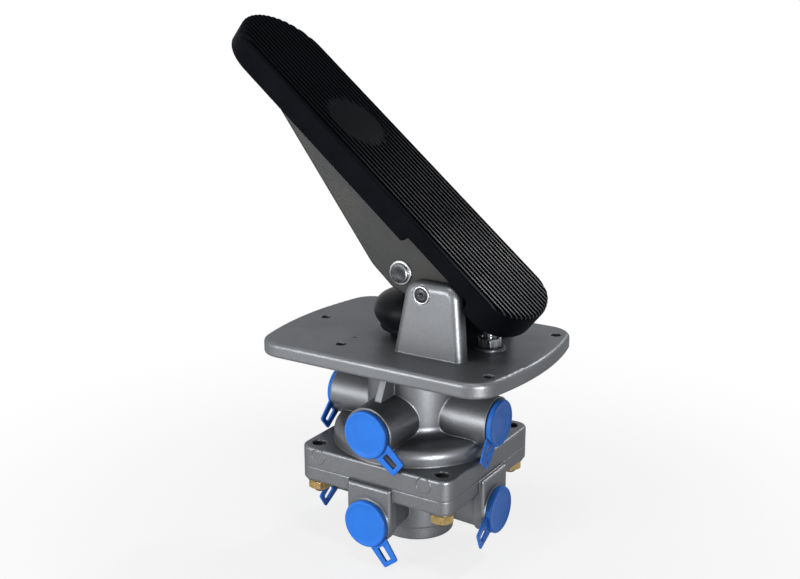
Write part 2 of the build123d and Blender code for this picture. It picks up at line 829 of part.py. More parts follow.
def boot():
    neck_r = plunger_r + boot_clearance
    collar_r = neck_r + 2 * boot_wall
    foot_z = plate_top_z + boot_foot_t
    top_z = plunger_head_z - boot_clearance
    bulge = (boot_bulge_r, boot_bulge_z)
    outer_arc = ((boot_waist_r, boot_waist_z), bulge, (boot_waist_r, boot_shoulder_z))
    inner_arc = [(r - boot_wall, z) for r, z in reversed(outer_arc)]
    with BuildPart() as turned:
        with BuildSketch(Plane.XZ):
            with BuildLine():
                Polyline((boot_foot_r, plate_top_z), (boot_foot_r, foot_z), (boot_waist_r, foot_z))
                Line((boot_waist_r, foot_z), outer_arc[0])
                ThreePointArc(*outer_arc)
                Polyline(outer_arc[2], (collar_r, boot_neck_z), (collar_r, top_z), (neck_r, top_z))
                Polyline((neck_r, top_z), (neck_r, boot_neck_z - boot_wall), inner_arc[0])
                ThreePointArc(*inner_arc)
                Polyline(inner_arc[2], (boot_waist_r - boot_wall, plate_top_z), (boot_foot_r, plate_top_z))
            make_face()
        revolve(axis=Axis.Z)
    return turned.part


def graduating_spring():
    low = piston_floor_z + piston_floor_t
    high = plunger_seat_z
    waist = (rubber_spring_waist_r, (low + high) / 2)
    side = [(rubber_spring_end_r, low), waist, (rubber_spring_end_r, high)]
    return lathe([(rubber_spring_hole_r, low), *side, (rubber_spring_hole_r, high)])


# Primary piston and valve
def primary_piston():
    outer = piston_bore_r - piston_clearance
    body = ring(outer, 0, piston_floor_z, piston_top_z)
    body -= ring(outer - piston_skirt_t, 0, piston_floor_z + piston_floor_t, piston_top_z + 1)
    body += ring(stem_r, 0, stem_z, piston_floor_z + 1)
    body -= ring(stem_bore_r, 0, stem_z - 1, piston_floor_z)
    return body - seal_groove(piston_bore_r - seal_clearance, piston_seal_z)


def valve_body(low):
    """A valve disc on its guide tube, without the rubber that covers its top."""
    body = ring(valve_r, stem_bore_r, low, low + valve_t)
    return body + ring(valve_tube_r, stem_bore_r, low - valve_tube_l, low + valve_t)


def valve_rubber(top):
    return ring(valve_r, stem_bore_r, top - valve_rubber_t, top)


def valve_spring(guide_z, disc_z):
    return coil(valve_spring_r, guide_z + valve_guide_t, disc_z, valve_wire_t, valve_spring_turns)


def valve_guide(guide_z):
    outer = valve_chamber_r - ring_clearance
    return ring(outer, valve_tube_r + guide_clearance, guide_z, guide_z + valve_guide_t)


def circlip(guide_z, bore_r):
    top = guide_z - ring_clearance
    outer = bore_r + guide_ring_bite - ring_clearance
    clip = ring(outer, outer - guide_ring_w, top - guide_ring_t, top)
    mouth = Box(3 * guide_ring_w, guide_ring_mouth, 3 * guide_ring_t)
    return clip - Pos(outer, 0, top - guide_ring_t / 2) * mouth


# Relay piston
def relay_piston():
    outer = relay_r - relay_clearance
    body = ring(outer, 0, relay_z, relay_z + relay_t)
    body -= ring(outer - relay_rim_t, relay_hub_r, relay_z + relay_t - relay_recess, relay_z + relay_t + 1)
    body += ring(relay_hub_r, 0, relay_z - relay_hub_depth, relay_z + 1)
    body += ring(stem_r, 0, lower_stem_z, relay_z)
    body -= ring(stem_bore_r, 0, lower_stem_z - 1, relay_z + relay_t + 1)
    return body - seal_groove(relay_r - seal_clearance, relay_seal_z)


# Exhaust guard in the snout
def exhaust_grille():
    grille = ring(grille_r, flap_stalk_r, grille_z, grille_seat_depth)
    hole = Pos(grille_ring_r, 0, 0) * ring(grille_hole_r, 0, grille_z - 1, grille_seat_depth + 1)
    return grille - [Rot(0, 0, i * 360 / grille_holes) * hole for i in range(grille_holes)]


def exhaust_flap():
    """A rubber disc under the grille, held by a button through its middle."""
    flap = ring(flap_r, 0, grille_z - flap_t, grille_z)
    stalk = ring(flap_stalk_r, 0, grille_z, grille_seat_depth)
    return flap + stalk + ring(flap_button_r, 0, grille_seat_depth, grille_seat_depth + flap_t)


# Fasteners
def body_studs():
    stud = ring(stud_r, 0, nut_low_z() - stud_tail, upper_flange_z - stud_top_drop)
    return Compound(at_studs(chamfer(stud.edges(), small_chamfer)))


def body_nuts():
    nut = hexagon(stud_nut_af, nut_low_z(), nut_low_z() + stud_nut_h)
    return Compound(at_studs(nut - ring(stud_r, 0, nut_low_z() - 1, lower_flange_z)))


def nut_low_z():
    return lower_flange_z - washer_t - stud_nut_h


def body_washers():
    washer = ring(washer_r, stud_hole_r, lower_flange_z - washer_t, lower_flange_z)
    return Compound(at_studs(washer))


def plate_screws():
    screw = hexagon(plate_screw_af, top_flange_z - plate_screw_head_h, top_flange_z)
    tip_z = body_seat_z + plate_screw_bite - plate_screw_tip_gap
    screw += ring(plate_screw_r, 0, top_flange_z - 1, tip_z)
    screw = Pos(plate_screw_ring_r, 0, 0) * screw
    return Compound([Rot(0, 0, turn) * screw for turn in plate_screw_turns])


# Port plugs
def port_plug(level_name, side):
    reach = upper_reach if level_name == "upper" else lower_reach
    level = upper_port_z if level_name == "upper" else lower_port_z
    disc = bar(plug_r, reach, reach + plug_t)
    disc = chamfer(disc.edges().sort_by(Axis.X)[-1], small_chamfer)
    spigot_r = port_thread_r - plug_spigot_clearance
    spigot = bar(spigot_r, reach - plug_spigot_depth, reach + 0.5)
    spigot -= bar(spigot_r - plug_spigot_wall, reach - plug_spigot_depth - 1, reach)
    frame_l = tab_length + tab_edge_overlap
    tab = Box(tab_t, tab_width, frame_l)
    window_z = -frame_l / 2 + tab_frame + tab_window_l / 2
    tab -= Pos(0, 0, window_z) * Box(2 * tab_t, tab_window_w, tab_window_l)
    tab = Pos(reach + tab_t / 2, 0, -plug_r + tab_edge_overlap - frame_l / 2) * tab
    tab = Rot(tab_lean[(level_name, side)], 0, 0) * tab
    return at_port(disc + spigot + tab, side, level)


def build():
    parts["mounting_plate"] = mounting_plate()
    parts["upper_body"] = upper_body()
    parts["lower_body"] = lower_body()
    parts["joint_seal"] = seal(joint_seal_r, joint_z + seal_t / 2)
    parts["body_studs"] = body_studs()
    parts["body_nuts"] = body_nuts()
    parts["body_washers"] = body_washers()
    parts["plate_screws"] = plate_screws()
    parts["guide_bush"] = guide_bush()
    parts["boot"] = boot()
    parts["pivot_pin"] = pivot_pin()
    parts["pivot_bushes"] = pivot_bushes()
    parts["stop_screw"] = stop_screw()
    parts["stop_nut"] = stop_nut()
    parts["treadle_pad"] = treadle_pad()
    parts["treadle_arm"] = treadle_arm()
    parts["roller_pin"] = roller_pin()
    parts["roller_clip"] = roller_clip()
    parts["roller"] = roller()
    parts["plunger"] = plunger()
    parts["graduating_spring"] = graduating_spring()
    parts["primary_piston"] = primary_piston()
    parts["primary_piston_seal"] = seal(piston_bore_r - seal_clearance, piston_seal_z)
    parts["piston_return_spring"] = coil(
        seat_hole_r + return_wire_t / 2 + spring_side_gap,
        piston_bore_floor_z,
        piston_floor_z,
        return_wire_t,
        return_spring_turns,
    )
    parts["primary_valve"] = valve_body(valve_z)
    parts["primary_valve_rubber"] = valve_rubber(valve_top_z)
    parts["primary_valve_spring"] = valve_spring(valve_guide_z, valve_z)
    parts["primary_valve_guide"] = valve_guide(valve_guide_z)
    parts["primary_guide_circlip"] = circlip(valve_guide_z, valve_chamber_r)
    parts["relay_piston"] = relay_piston()
    parts["relay_piston_seal"] = seal(relay_r - seal_clearance, relay_seal_z)
    parts["relay_return_spring"] = coil(
        lower_chamber_r - relay_wire_t / 2 - spring_side_gap,
        lower_seat_z,
        relay_z,
        relay_wire_t,
        relay_spring_turns,
    )
    parts["secondary_valve"] = valve_body(lower_valve_z)
    parts["secondary_valve_rubber"] = valve_rubber(lower_valve_top_z)
    parts["secondary_valve_spring"] = valve_spring(lower_guide_z, lower_valve_z)
    parts["secondary_valve_guide"] = valve_guide(lower_guide_z)
    parts["secondary_guide_circlip"] = circlip(lower_guide_z, valve_chamber_r)
    parts["exhaust_grille"] = exhaust_grille()
    parts["exhaust_flap"] = exhaust_flap()
    for level_name in ("upper", "lower"):
        for side in port_turn:
            parts[f"{level_name}_{side}_plug"] = port_plug(level_name, side)


build()
os.makedirs("parts", exist_ok=True)
for name, solid in parts.items():
    export_step(solid, os.path.join("parts", f"{name}.step"))
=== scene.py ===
import json
import math

import bmesh
import bpy
import numpy as np
from mathutils import Matrix, Vector


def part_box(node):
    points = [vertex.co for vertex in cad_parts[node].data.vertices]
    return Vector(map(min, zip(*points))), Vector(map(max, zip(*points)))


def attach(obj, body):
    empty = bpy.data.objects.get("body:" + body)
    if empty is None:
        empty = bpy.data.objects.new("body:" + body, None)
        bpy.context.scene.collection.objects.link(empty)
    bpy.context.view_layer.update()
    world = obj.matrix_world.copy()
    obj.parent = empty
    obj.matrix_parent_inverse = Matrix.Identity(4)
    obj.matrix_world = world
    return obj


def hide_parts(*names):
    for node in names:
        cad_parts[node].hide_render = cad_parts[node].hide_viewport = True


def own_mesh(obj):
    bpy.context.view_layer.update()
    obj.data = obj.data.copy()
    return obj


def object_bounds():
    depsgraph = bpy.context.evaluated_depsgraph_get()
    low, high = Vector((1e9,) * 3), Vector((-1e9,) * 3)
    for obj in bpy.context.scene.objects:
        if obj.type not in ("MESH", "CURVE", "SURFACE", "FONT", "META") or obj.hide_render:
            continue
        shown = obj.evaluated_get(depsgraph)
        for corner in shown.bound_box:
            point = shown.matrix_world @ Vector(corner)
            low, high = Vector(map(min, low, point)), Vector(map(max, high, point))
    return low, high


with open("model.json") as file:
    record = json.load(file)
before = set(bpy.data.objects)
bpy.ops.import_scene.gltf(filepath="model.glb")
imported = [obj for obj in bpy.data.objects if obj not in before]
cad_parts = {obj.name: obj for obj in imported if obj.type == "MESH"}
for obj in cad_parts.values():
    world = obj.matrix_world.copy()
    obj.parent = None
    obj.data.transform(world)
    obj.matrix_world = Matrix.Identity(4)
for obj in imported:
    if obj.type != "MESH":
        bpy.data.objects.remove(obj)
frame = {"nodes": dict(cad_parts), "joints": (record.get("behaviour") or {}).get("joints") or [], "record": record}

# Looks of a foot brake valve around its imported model. Metres, +Z up, the pedal's toe towards -X.
cad_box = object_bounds()
MM = 0.001
MERGE = 1e-7
slot_of = {part["node"]: part["material_slot"] for part in frame["record"]["subparts"]}
joint_of = {joint["name"]: joint for joint in frame["joints"]}


def height_span(node):
    """A node's lowest and highest level at rest, in millimetres."""
    low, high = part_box(node)
    return low[2] / MM, high[2] / MM


# Camera, fitted to the photograph
CAMERA_TURN = math.radians(32.17)
CAMERA_RISE = math.radians(15.55)
CAMERA_DISTANCE = 0.66481
CAMERA_LENS = 49.34
CAMERA_CLIP = 0.01
CAMERA_TARGET = Vector((0, 0, 0.1074))
CAMERA_SIDESTEP = -0.0106
CAMERA_LIFT = 0.0434

# Pedal directions: u runs from heel to toe along the deck, n stands square off it
PIVOT = Vector(joint_of["treadle_pivot"]["pos_m"])
PEDAL_SLOPE = math.radians(39.6)

# Pad, in millimetres
PAD_HALF = 32.0
PAD_TOP = 27.5
PAD_TOE = 202.5
PAD_HEEL = -51.0
PAD_HEEL_ARC = 46.0
PAD_HEEL_CORNER = 18.0
PAD_EDGE = 2.5
PAD_SKIRT = 12.5
PAD_HEEL_SKIRT = 11.0
PAD_WALL = 3.0
PAD_ROOF = 23.2
SKIRT_DROPS = (1.0, 2.2, 3.6, 5.0, 6.4)
SKIRT_LIP = 0.6
NOTCH_TOP = 17.3
NOTCH_TOE = 29.0
NOTCH_HEEL = -22.5
NOTCH_CORNER = 2.8
NOTCH_LIP = 2.0
NOTCH_SIDE = 1.0

# The pad's ribs: the groove's half floor and wall, the crown's flat and rounding, and where grooves stop
RIB_PITCH = 3.6
RIB_GROOVES = 17
GROOVE_DEPTH = 1.6
GROOVE_FLOOR = 0.45
GROOVE_WALL = 0.75
CROWN_SINK = 0.12
CROWN_FLAT = 1.5
CROWN_ROUND = 0.6
HEEL_STOP_U = -25.0
HEEL_STOP_Y = 12.0
HEEL_STOP_LAND = 0.7
HEEL_STOP_RAMP = 1.3
SKIRT_GROOVE_FADE = 0.5

# The pad's bare round panel
PANEL_U = 107.0
PANEL_R = 20.0
PANEL_EDGE = 0.8
PANEL_SINK = 0.55
RIM_OFFSET = 0.4
RIM_WIDTH = 0.7

# Rows and columns of the pad's mesh
EDGE_ANGLES = (0, 12, 24, 36, 48, 62, 76, 90)
NOTCH_ANGLES = (0, 15, 30, 45, 60, 75, 90)
NOTCH_LIP_SHARES = (0.02, 0.15, 0.35, 0.65, 1.02)
COLUMNS_PER_RIB = 12
COLUMN_GAP = 0.1
HEEL_ZONE = 5.0
KNEE_ZONE = 4.0
TOE_ZONE = 4.0
HEEL_ROWS = 8
PLAIN_ROWS = 11
PLAIN_START = 6.0
PLAIN_STEP = 3.6
LONG_ROWS = 56
TOE_ROWS = 10

# Other pieces, in millimetres, as in the CAD
PORT_TURN = {"right": 0.0, "front": -90.0, "left": 180.0}
PORTS = {"upper": (54.5, 79.5), "lower": (55.5, 24.0)}
PLUG_R = 14.2
PLUG_T = 3.5
PLUG_ROLL = 1.0
PLUG_SPIGOT_R = 10.05
TAB_LENGTH = 13.5
TAB_WIDTH = 11.0
TAB_ROOT = 1.8
TAB_FLARE = 1.3
TAB_WINDOW_L = 9.5
TAB_WINDOW_W = 5.0
TAB_FRAME = 2.5
TAB_BASE = 0.05
TAB_T = 1.6
TAB_BEVEL = 0.3
TAB_LEAN = {
    ("upper", "right"): -42.0,
    ("upper", "front"): 51.0,
    ("upper", "left"): 50.0,
    ("lower", "right"): -67.0,
    ("lower", "front"): 38.0,
    ("lower", "left"): 57.0,
}
TAB_COCK = {("lower", "right"): 0.10, ("upper", "right"): 0.08}
STUD_OFFSET = 43.0
STUD_R = 4.0
THREAD_PITCH = 1.25
THREAD_DEPTH = 0.61 * THREAD_PITCH
THREAD_ROWS = 6
BAR_CHAMFER = 0.8
BAR_SHOULDER = 0.9
NUT_AF = 13.0
NUT_SINK = 0.7
WASHER_R = 8.0
WASHER_HOLE_R = STUD_R + 0.3
COLUMN_R = 30.0
WASHER_HIGH = 38.5
WASHER_LOW = WASHER_HIGH - 1.2
NUT_HIGH = WASHER_LOW
NUT_LOW = NUT_HIGH - 5.5
STUD_LOW = NUT_LOW - 2.5
STUD_HIGH = 58.0
PLATE_TOP = 124.5
BODY_SEAT = 116.5
STOP_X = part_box("stop_nut")[0][0] / MM + NUT_AF / math.sqrt(3)
STOP_HEAD_LOW, STOP_TOP = height_span("stop_screw")
STOP_PAD_H = 1.5
PIN_R = 4.0
PIN_REACH = 35.3
BUSH_R = 5.25
BUSH_REACH = 35.0
EAR_INNER = 26.5
WEB_OUTER = 25.5
ROLLER_X = 4.0
ROLLER_Z = 169.0
ROLLER_HEAD_DEPTH = 2.4
ROLLER_HEAD_R = 4.9
PLUNGER_R = 7.0
BOOT_H = 31.0
BOOT_WAVE = 0.12
BOOT_WAVE_FROM = 16
BOOT_WAVE_OVER = 10
VALVE_BORE = 3.8
GRILLE_SEAT = 8.0
GRILLE_Z = GRILLE_SEAT - 1.5

# Coil springs: node, mean radius, wire, levels of the ends, turns, joint, share kept when shortened
COILS = {
    "piston_return_coil":
        ("piston_return_spring", 10.65, 1.3, (80.5, 88.0), 3.2, "primary_piston_slide", 0.6),
    "primary_valve_coil":
        ("primary_valve_spring", 7.95, 1.5, height_span("primary_valve_spring"), 3.0, "primary_valve_slide", 0.788),
    "relay_return_coil":
        ("relay_return_spring", 16.0, 2.0, (30.0, 51.0), 4.2, "relay_piston_slide", 0.881),
    "secondary_valve_coil":
        ("secondary_valve_spring", 7.95, 1.5, height_span("secondary_valve_spring"), 3.0,
         "secondary_valve_slide", 0.847),
}
COIL_STEPS = 28
COIL_SIDES = 10
COIL_CLOSED = 0.12

# Cast marks: x, z and radius of each ring; x, z and lean of each nick
FLANGE_FACE_Y = -52.0
EJECTOR_RINGS = ((35.6, 55.0, 4.8), (-37.7, 55.2, 4.6))
NICKS = ((24.7, 101.0, -0.35), (27.2, 89.0, 0.4))
NICK_LENGTH = 1.5
NICK_WIDTH = 0.55

# Repeats per metre of the materials' patterns
FLOW_MOTTLE = 26.0
CAST_GRAIN = 950.0
CAST_PITS = 420.0
EDGE_WEAR_AND_HIGHLIGHT = 160.0
RUBBER_BLOOM = 34.0
RUBBER_GRAIN = 1500.0
CROWN_PATCHINESS = 120.0
PLATING_TONE = 210.0
DRAWN_STREAKS = 800.0
PLASTIC_FLOW = 90.0
PLASTIC_GRAIN = 1300.0
EDGE_SAMPLES = 6

# Where the rib crowns are paler, partly from shoe wear and partly a painted sheen: across a crown, in pitches, and
# along the pad, in metres and strength
CREST_FADE = (0.17, 0.09)
MIDDLE_WEAR_AND_SHEEN = (0.105, 0.055, 0.0, 0.12)
HEEL_WEAR_AND_SHEEN = (0.026, -0.025, 0.0, 0.88)

# Studio: the world's light on the object, and the floor's glow from near to far, in metres
WORLD_DIFFUSE = 0.20
FLOOR_GLOW_NEAR = 0.80
FLOOR_GLOW_FAR = 1.0
FLOOR_FADE = (0.10, 0.42)
FLOOR_GAP = 0.0006
FLOOR_HALF = 3.0
FLOOR_COLOUR = (0.82, 0.82, 0.82, 1)

# Lamps: place, size and power; each looks at the middle of the valve
LAMPS = {
    "key": ((-0.52, -1.20, 0.28), (0.50, 0.50), 12.5),
    "right_streak": ((0.96, -0.74, 0.09), (0.14, 0.26), 26.0),
    "top": ((0.12, -0.28, 1.36), (0.30, 0.30), 3.4),
    "back_glint": ((0.22, 1.05, 0.86), (0.16, 0.16), 5.0),
}
LAMP_TARGET = Vector((0, 0, 0.12))
# Lamps that show in reflections only
GLINT_LAMPS = ("right_streak",)


def pedal_point(u, y, n):
    """A place given in the pedal's directions, in millimetres, as a point of the row frame."""
    c, s = math.cos(PEDAL_SLOPE), math.sin(PEDAL_SLOPE)
    return PIVOT + Vector((-u * c + n * s, y, u * s + n * c)) * MM


class Shape:
    """Collects vertices and faces of one piece, millimetres in, metres out."""

    def __init__(self, place=lambda p: Vector(p) * MM):
        self.vertices = []
        self.faces = []
        self.place = place

    def loop(self, points):
        """Adds a closed loop of vertices and returns their numbers."""
        first = len(self.vertices)
        self.vertices.extend(self.place(p) for p in points)
        return list(range(first, len(self.vertices)))

    def bridge(self, a, b, closed=True):
        """Joins two loops of the same length by a band of quads."""
        count = len(a)
        for i in range(count if closed else count - 1):
            j = (i + 1) % count
            self.faces.append((a[i], a[j], b[j], b[i]))

    def cap(self, loop):
        self.faces.append(tuple(loop))

    def add(self, other):
        """Takes in another shape's vertices and faces."""
        base = len(self.vertices)
        self.vertices += other.vertices
        self.faces += [tuple(k + base for k in f) for f in other.faces]

    def lathe(self, profile, segments=96, wobble=None):
        """A closed ring of profile points, radius and height, turned about the place's third axis."""
        loops = []
        for r, z in profile:
            points = []
            for k in range(segments):
                angle = 2 * math.pi * k / segments
                radius = wobble(r, z, angle) if wobble else r
                points.append((radius * math.cos(angle), radius * math.sin(angle), z))
            loops.append(self.loop(points))
        for a, b in zip(loops, loops[1:]):
            self.bridge(a, b)
        return loops

    def solid_lathe(self, profile, **options):
        """A lathe whose first and last loops are closed by flat caps."""
        loops = self.lathe(profile, **options)
        self.cap(loops[0])
        self.cap(loops[-1])

    def ring_lathe(self, profile, **options):
        """A lathe whose profile is a closed outline."""
        loops = self.lathe(profile, **options)
        self.bridge(loops[-1], loops[0])


def new_piece(name, shape, body, slot, replaced=(), smooth_angle=60.0, look=None):
    """A closed mesh piece that rides on a body, wears a slot's material and stands for CAD nodes."""
    mesh = bpy.data.meshes.new(name)
    mesh.from_pydata([tuple(v) for v in shape.vertices], [], shape.faces)
    piece = bpy.data.objects.new(name, mesh)
    bpy.context.scene.collection.objects.link(piece)
    work = bmesh.new()
    work.from_mesh(mesh)
    bmesh.ops.remove_doubles(work, verts=work.verts, dist=MERGE)
    bmesh.ops.recalc_face_normals(work, faces=work.faces)
    work.to_mesh(mesh)
    work.free()
    mesh.polygons.foreach_set("use_smooth", [True] * len(mesh.polygons))
    mesh.set_sharp_from_angle(angle=math.radians(smooth_angle))
    mesh.materials.append(materials[look or slot])
    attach(piece, body)
    if replaced:
        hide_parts(*replaced)
    return piece


# Materials
def rgb(red, green, blue):
    return (red, green, blue, 1.0)


def shade(base, share):
    """A colour at this share of its strength."""
    return rgb(*(min(1.0, c * share) for c in base))


class Graph:
    """Short helpers for building one material's nodes."""

    def __init__(self, name):
        self.material = bpy.data.materials.new(name)
        self.material.use_nodes = True
        self.nodes = self.material.node_tree.nodes
        self.links = self.material.node_tree.links
        self.shader = self.nodes["Principled BSDF"]
        self.coords = self.nodes.new("ShaderNodeTexCoord").outputs["Object"]

    def put(self, value, socket):
        if isinstance(value, bpy.types.NodeSocket):
            self.links.new(value, socket)
        else:
            socket.default_value = value

    def node(self, kind, inputs=None, **settings):
        made = self.nodes.new(kind)
        for key, value in settings.items():
            setattr(made, key, value)
        for key, value in (inputs or {}).items():
            self.put(value, made.inputs[key])
        return made

    def noise(self, scale, detail=3.0, roughness=0.55, distortion=0.0, stretch=None):
        vector = self.coords
        if stretch:
            vector = self.node("ShaderNodeMapping", {"Vector": self.coords, "Scale": stretch}).outputs[0]
        inputs = {
            "Vector": vector,
            "Scale": scale,
            "Detail": detail,
            "Roughness": roughness,
            "Distortion": distortion,
        }
        return self.node("ShaderNodeTexNoise", inputs).outputs["Fac"]

    def spots(self, scale):
        inputs = {"Vector": self.coords, "Scale": scale}
        return self.node("ShaderNodeTexVoronoi", inputs).outputs["Distance"]

    def span(self, value, low, high, out_low=0.0, out_high=1.0):
        inputs = {"Value": value, "From Min": low, "From Max": high, "To Min": out_low, "To Max": out_high}
        return self.node("ShaderNodeMapRange", inputs, clamp=True).outputs[0]

    def maths(self, operation, a, b=0.0):
        made = self.node("ShaderNodeMath", operation=operation)
        self.put(a, made.inputs[0])
        self.put(b, made.inputs[1])
        return made.outputs[0]

    def times(self, a, b):
        return self.maths("MULTIPLY", a, b)

    def mix(self, factor, a, b):
        made = self.node("ShaderNodeMix", data_type="RGBA")
        self.put(factor, made.inputs["Factor"])
        self.put(a, made.inputs["A"])
        self.put(b, made.inputs["B"])
        return made.outputs["Result"]

    def along(self, direction):
        """How far the place lies along a direction of the row frame, in metres."""
        inputs = {0: self.coords, 1: direction}
        return self.node("ShaderNodeVectorMath", inputs, operation="DOT_PRODUCT").outputs["Value"]

    def soft_edge(self, radius):
        """The surface's direction as if its edges were rounded by this radius."""
        return self.node("ShaderNodeBevel", {"Radius": radius}, samples=EDGE_SAMPLES).outputs[0]

    def edge_mask(self, rounded_normal, low=0.002, high=0.12):
        """1 on outer and inner edges, 0 on open faces."""
        true_normal = self.node("ShaderNodeNewGeometry").outputs["Normal"]
        dot = self.node("ShaderNodeVectorMath", operation="DOT_PRODUCT")
        self.put(rounded_normal, dot.inputs[0])
        self.put(true_normal, dot.inputs[1])
        off = self.maths("SUBTRACT", 1.0, dot.outputs["Value"])
        return self.span(off, low, high)

    def hollow(self, distance):
        """1 in the open, towards 0 in recesses."""
        inputs = {"Distance": distance}
        return self.node("ShaderNodeAmbientOcclusion", inputs, samples=EDGE_SAMPLES).outputs["AO"]

    def bump(self, height, strength, distance, normal=None):
        inputs = {"Height": height, "Strength": strength, "Distance": distance}
        if normal is not None:
            inputs["Normal"] = normal
        return self.node("ShaderNodeBump", inputs).outputs[0]

    def finish(self, colour, roughness, normal, metallic=0.0, **sockets):
        self.put(colour, self.shader.inputs["Base Color"])
        self.put(roughness, self.shader.inputs["Roughness"])
        self.put(normal, self.shader.inputs["Normal"])
        self.put(metallic, self.shader.inputs["Metallic"])
        for name, value in sockets.items():
            self.shader.inputs[name.replace("_", " ")].default_value = value
        return self.material


def cast_metal(name, base, warm):
    """Pressure-cast alloy: fine grain, flow mottling, brighter edges that are partly wear and partly a painted
    highlight, and painted shade darkening the recesses.
    """
    g = Graph(name)
    mottle = g.noise(FLOW_MOTTLE, 4.0, 0.6, 0.4)
    grain = g.noise(CAST_GRAIN, 2.0, 0.7)
    pits = g.spots(CAST_PITS)
    soft = g.soft_edge(1.4 * MM)
    edge = g.edge_mask(soft)
    open_air = g.hollow(12 * MM)
    cloud = g.mix(g.span(mottle, 0.35, 0.68), rgb(*base), rgb(*warm))
    grained = g.mix(g.span(grain, 0.3, 0.75, 0.0, 0.35), cloud, shade(base, 1.5))
    # Painted shade: the colour darkens in recesses, following the ambient occlusion mask.
    recess_painted_shade = g.mix(g.span(open_air, 0.35, 0.95), shade(base, 0.68), grained)
    # Brighter edges: partly wear, partly a painted highlight.
    edge_wear_and_highlight = g.times(edge, g.span(g.noise(EDGE_WEAR_AND_HIGHLIGHT, 3.0), 0.3, 0.6, 0.1, 0.55))
    edge_wear_and_highlight = g.times(edge_wear_and_highlight, g.span(open_air, 0.5, 0.9))
    colour = g.mix(edge_wear_and_highlight, recess_painted_shade, shade(base, 1.7))
    rough = g.span(g.maths("ADD", mottle, g.times(grain, 0.5)), 0.5, 1.0, 0.33, 0.46)
    pitted = g.bump(g.span(pits, 0.0, 0.35), 0.10, 0.2 * MM, soft)
    normal = g.bump(grain, 0.16, 0.18 * MM, pitted)
    return g.finish(colour, rough, normal, 0.62, Specular_Tint=rgb(0.22, 0.23, 0.25))


def moulded_rubber(name, base, bloomed, edge_r=0.8):
    """Moulded rubber: dull bloom in patches, fine grain, and paler edges that are partly wear and partly a painted
    highlight.
    """
    g = Graph(name)
    bloom = g.noise(RUBBER_BLOOM, 3.0, 0.6, 0.3)
    grain = g.noise(RUBBER_GRAIN, 2.0, 0.6)
    soft = g.soft_edge(edge_r * MM)
    edge = g.edge_mask(soft, 0.004, 0.2)
    body = g.mix(g.span(bloom, 0.35, 0.7), rgb(*base), rgb(*bloomed))
    # Paler edges: partly wear, partly a painted highlight.
    colour = g.mix(g.times(edge, 0.5), body, shade(base, 2.6))
    rough = g.span(g.maths("ADD", bloom, g.times(grain, 0.4)), 0.45, 0.95, 0.32, 0.48)
    normal = g.bump(grain, 0.18, 0.12 * MM, soft)
    return g.finish(colour, rough, normal, 0.0, Specular_IOR_Level=0.07)


def ribbed_rubber(name, base, crown_wear_and_sheen_colour):
    """The pad's rubber: dull black, with rib crowns paler and glossier towards the heel, partly from shoe wear and
    partly a painted sheen.
    """
    g = Graph(name)
    bloom = g.noise(RUBBER_BLOOM, 3.0, 0.6, 0.3)
    grain = g.noise(RUBBER_GRAIN, 2.0, 0.6)
    patchiness_noise = g.noise(CROWN_PATCHINESS, 3.0, 0.6, stretch=(0.25, 1.0, 0.25))
    run = (-math.cos(PEDAL_SLOPE), 0, math.sin(PEDAL_SLOPE))
    rise = (math.sin(PEDAL_SLOPE), 0, math.cos(PEDAL_SLOPE))
    u = g.maths("SUBTRACT", g.along(run), PIVOT.dot(Vector(run)))
    n = g.maths("SUBTRACT", g.along(rise), PIVOT.dot(Vector(rise)))
    phase = g.maths("FRACT", g.maths("DIVIDE", g.along((0, 1, 0)), RIB_PITCH * MM))
    crown = g.span(g.maths("ABSOLUTE", g.maths("SUBTRACT", phase, 0.5)), *CREST_FADE)
    top = g.span(n, (PAD_TOP - 1.3) * MM, (PAD_TOP - 0.7) * MM)
    along_pad_wear_and_sheen = g.maths("ADD", g.span(u, *MIDDLE_WEAR_AND_SHEEN), g.span(u, *HEEL_WEAR_AND_SHEEN))
    patchy_wear_and_sheen = g.times(along_pad_wear_and_sheen, g.span(patchiness_noise, 0.25, 0.6, 0.6, 1.0))
    crown_wear_and_sheen = g.times(g.times(crown, top), patchy_wear_and_sheen)
    body = g.mix(g.span(bloom, 0.35, 0.7), rgb(*base), shade(base, 1.4))
    # Paler crowns: partly shoe wear, partly a painted sheen.
    colour = g.mix(crown_wear_and_sheen, body, rgb(*crown_wear_and_sheen_colour))
    rough = g.span(g.maths("ADD", bloom, g.times(grain, 0.4)), 0.45, 0.95, 0.34, 0.5)
    g.put(g.span(crown_wear_and_sheen, 0.0, 1.0, 0.005, 0.20), g.shader.inputs["Specular IOR Level"])
    return g.finish(colour, rough, g.bump(grain, 0.05, 0.08 * MM), 0.0)


def plated_steel(name, base, tint, rough_low, rough_high):
    """Plated or ground steel: streaks, passivation tints, painted shade darkening the recesses, and brighter edges
    that are partly wear and partly a painted highlight.
    """
    g = Graph(name)
    tone = g.noise(PLATING_TONE, 3.0, 0.6, 0.8)
    streak = g.noise(DRAWN_STREAKS, 2.0, 0.5, stretch=(1.0, 1.0, 0.08))
    soft = g.soft_edge(0.4 * MM)
    open_air = g.hollow(3 * MM)
    tinted = g.mix(g.span(tone, 0.35, 0.65), rgb(*base), rgb(*tint))
    # Painted shade: the colour darkens in recesses, following the ambient occlusion mask.
    recess_painted_shade = g.mix(g.span(open_air, 0.3, 0.9), shade(base, 0.3), tinted)
    edge = g.edge_mask(soft)
    # Brighter edges: partly wear, partly a painted highlight.
    colour = g.mix(g.times(edge, 0.6), recess_painted_shade, shade(base, 1.5))
    rough = g.span(streak, 0.3, 0.7, rough_low, rough_high)
    normal = g.bump(streak, 0.12, 0.08 * MM, soft)
    return g.finish(colour, rough, normal, 0.95)


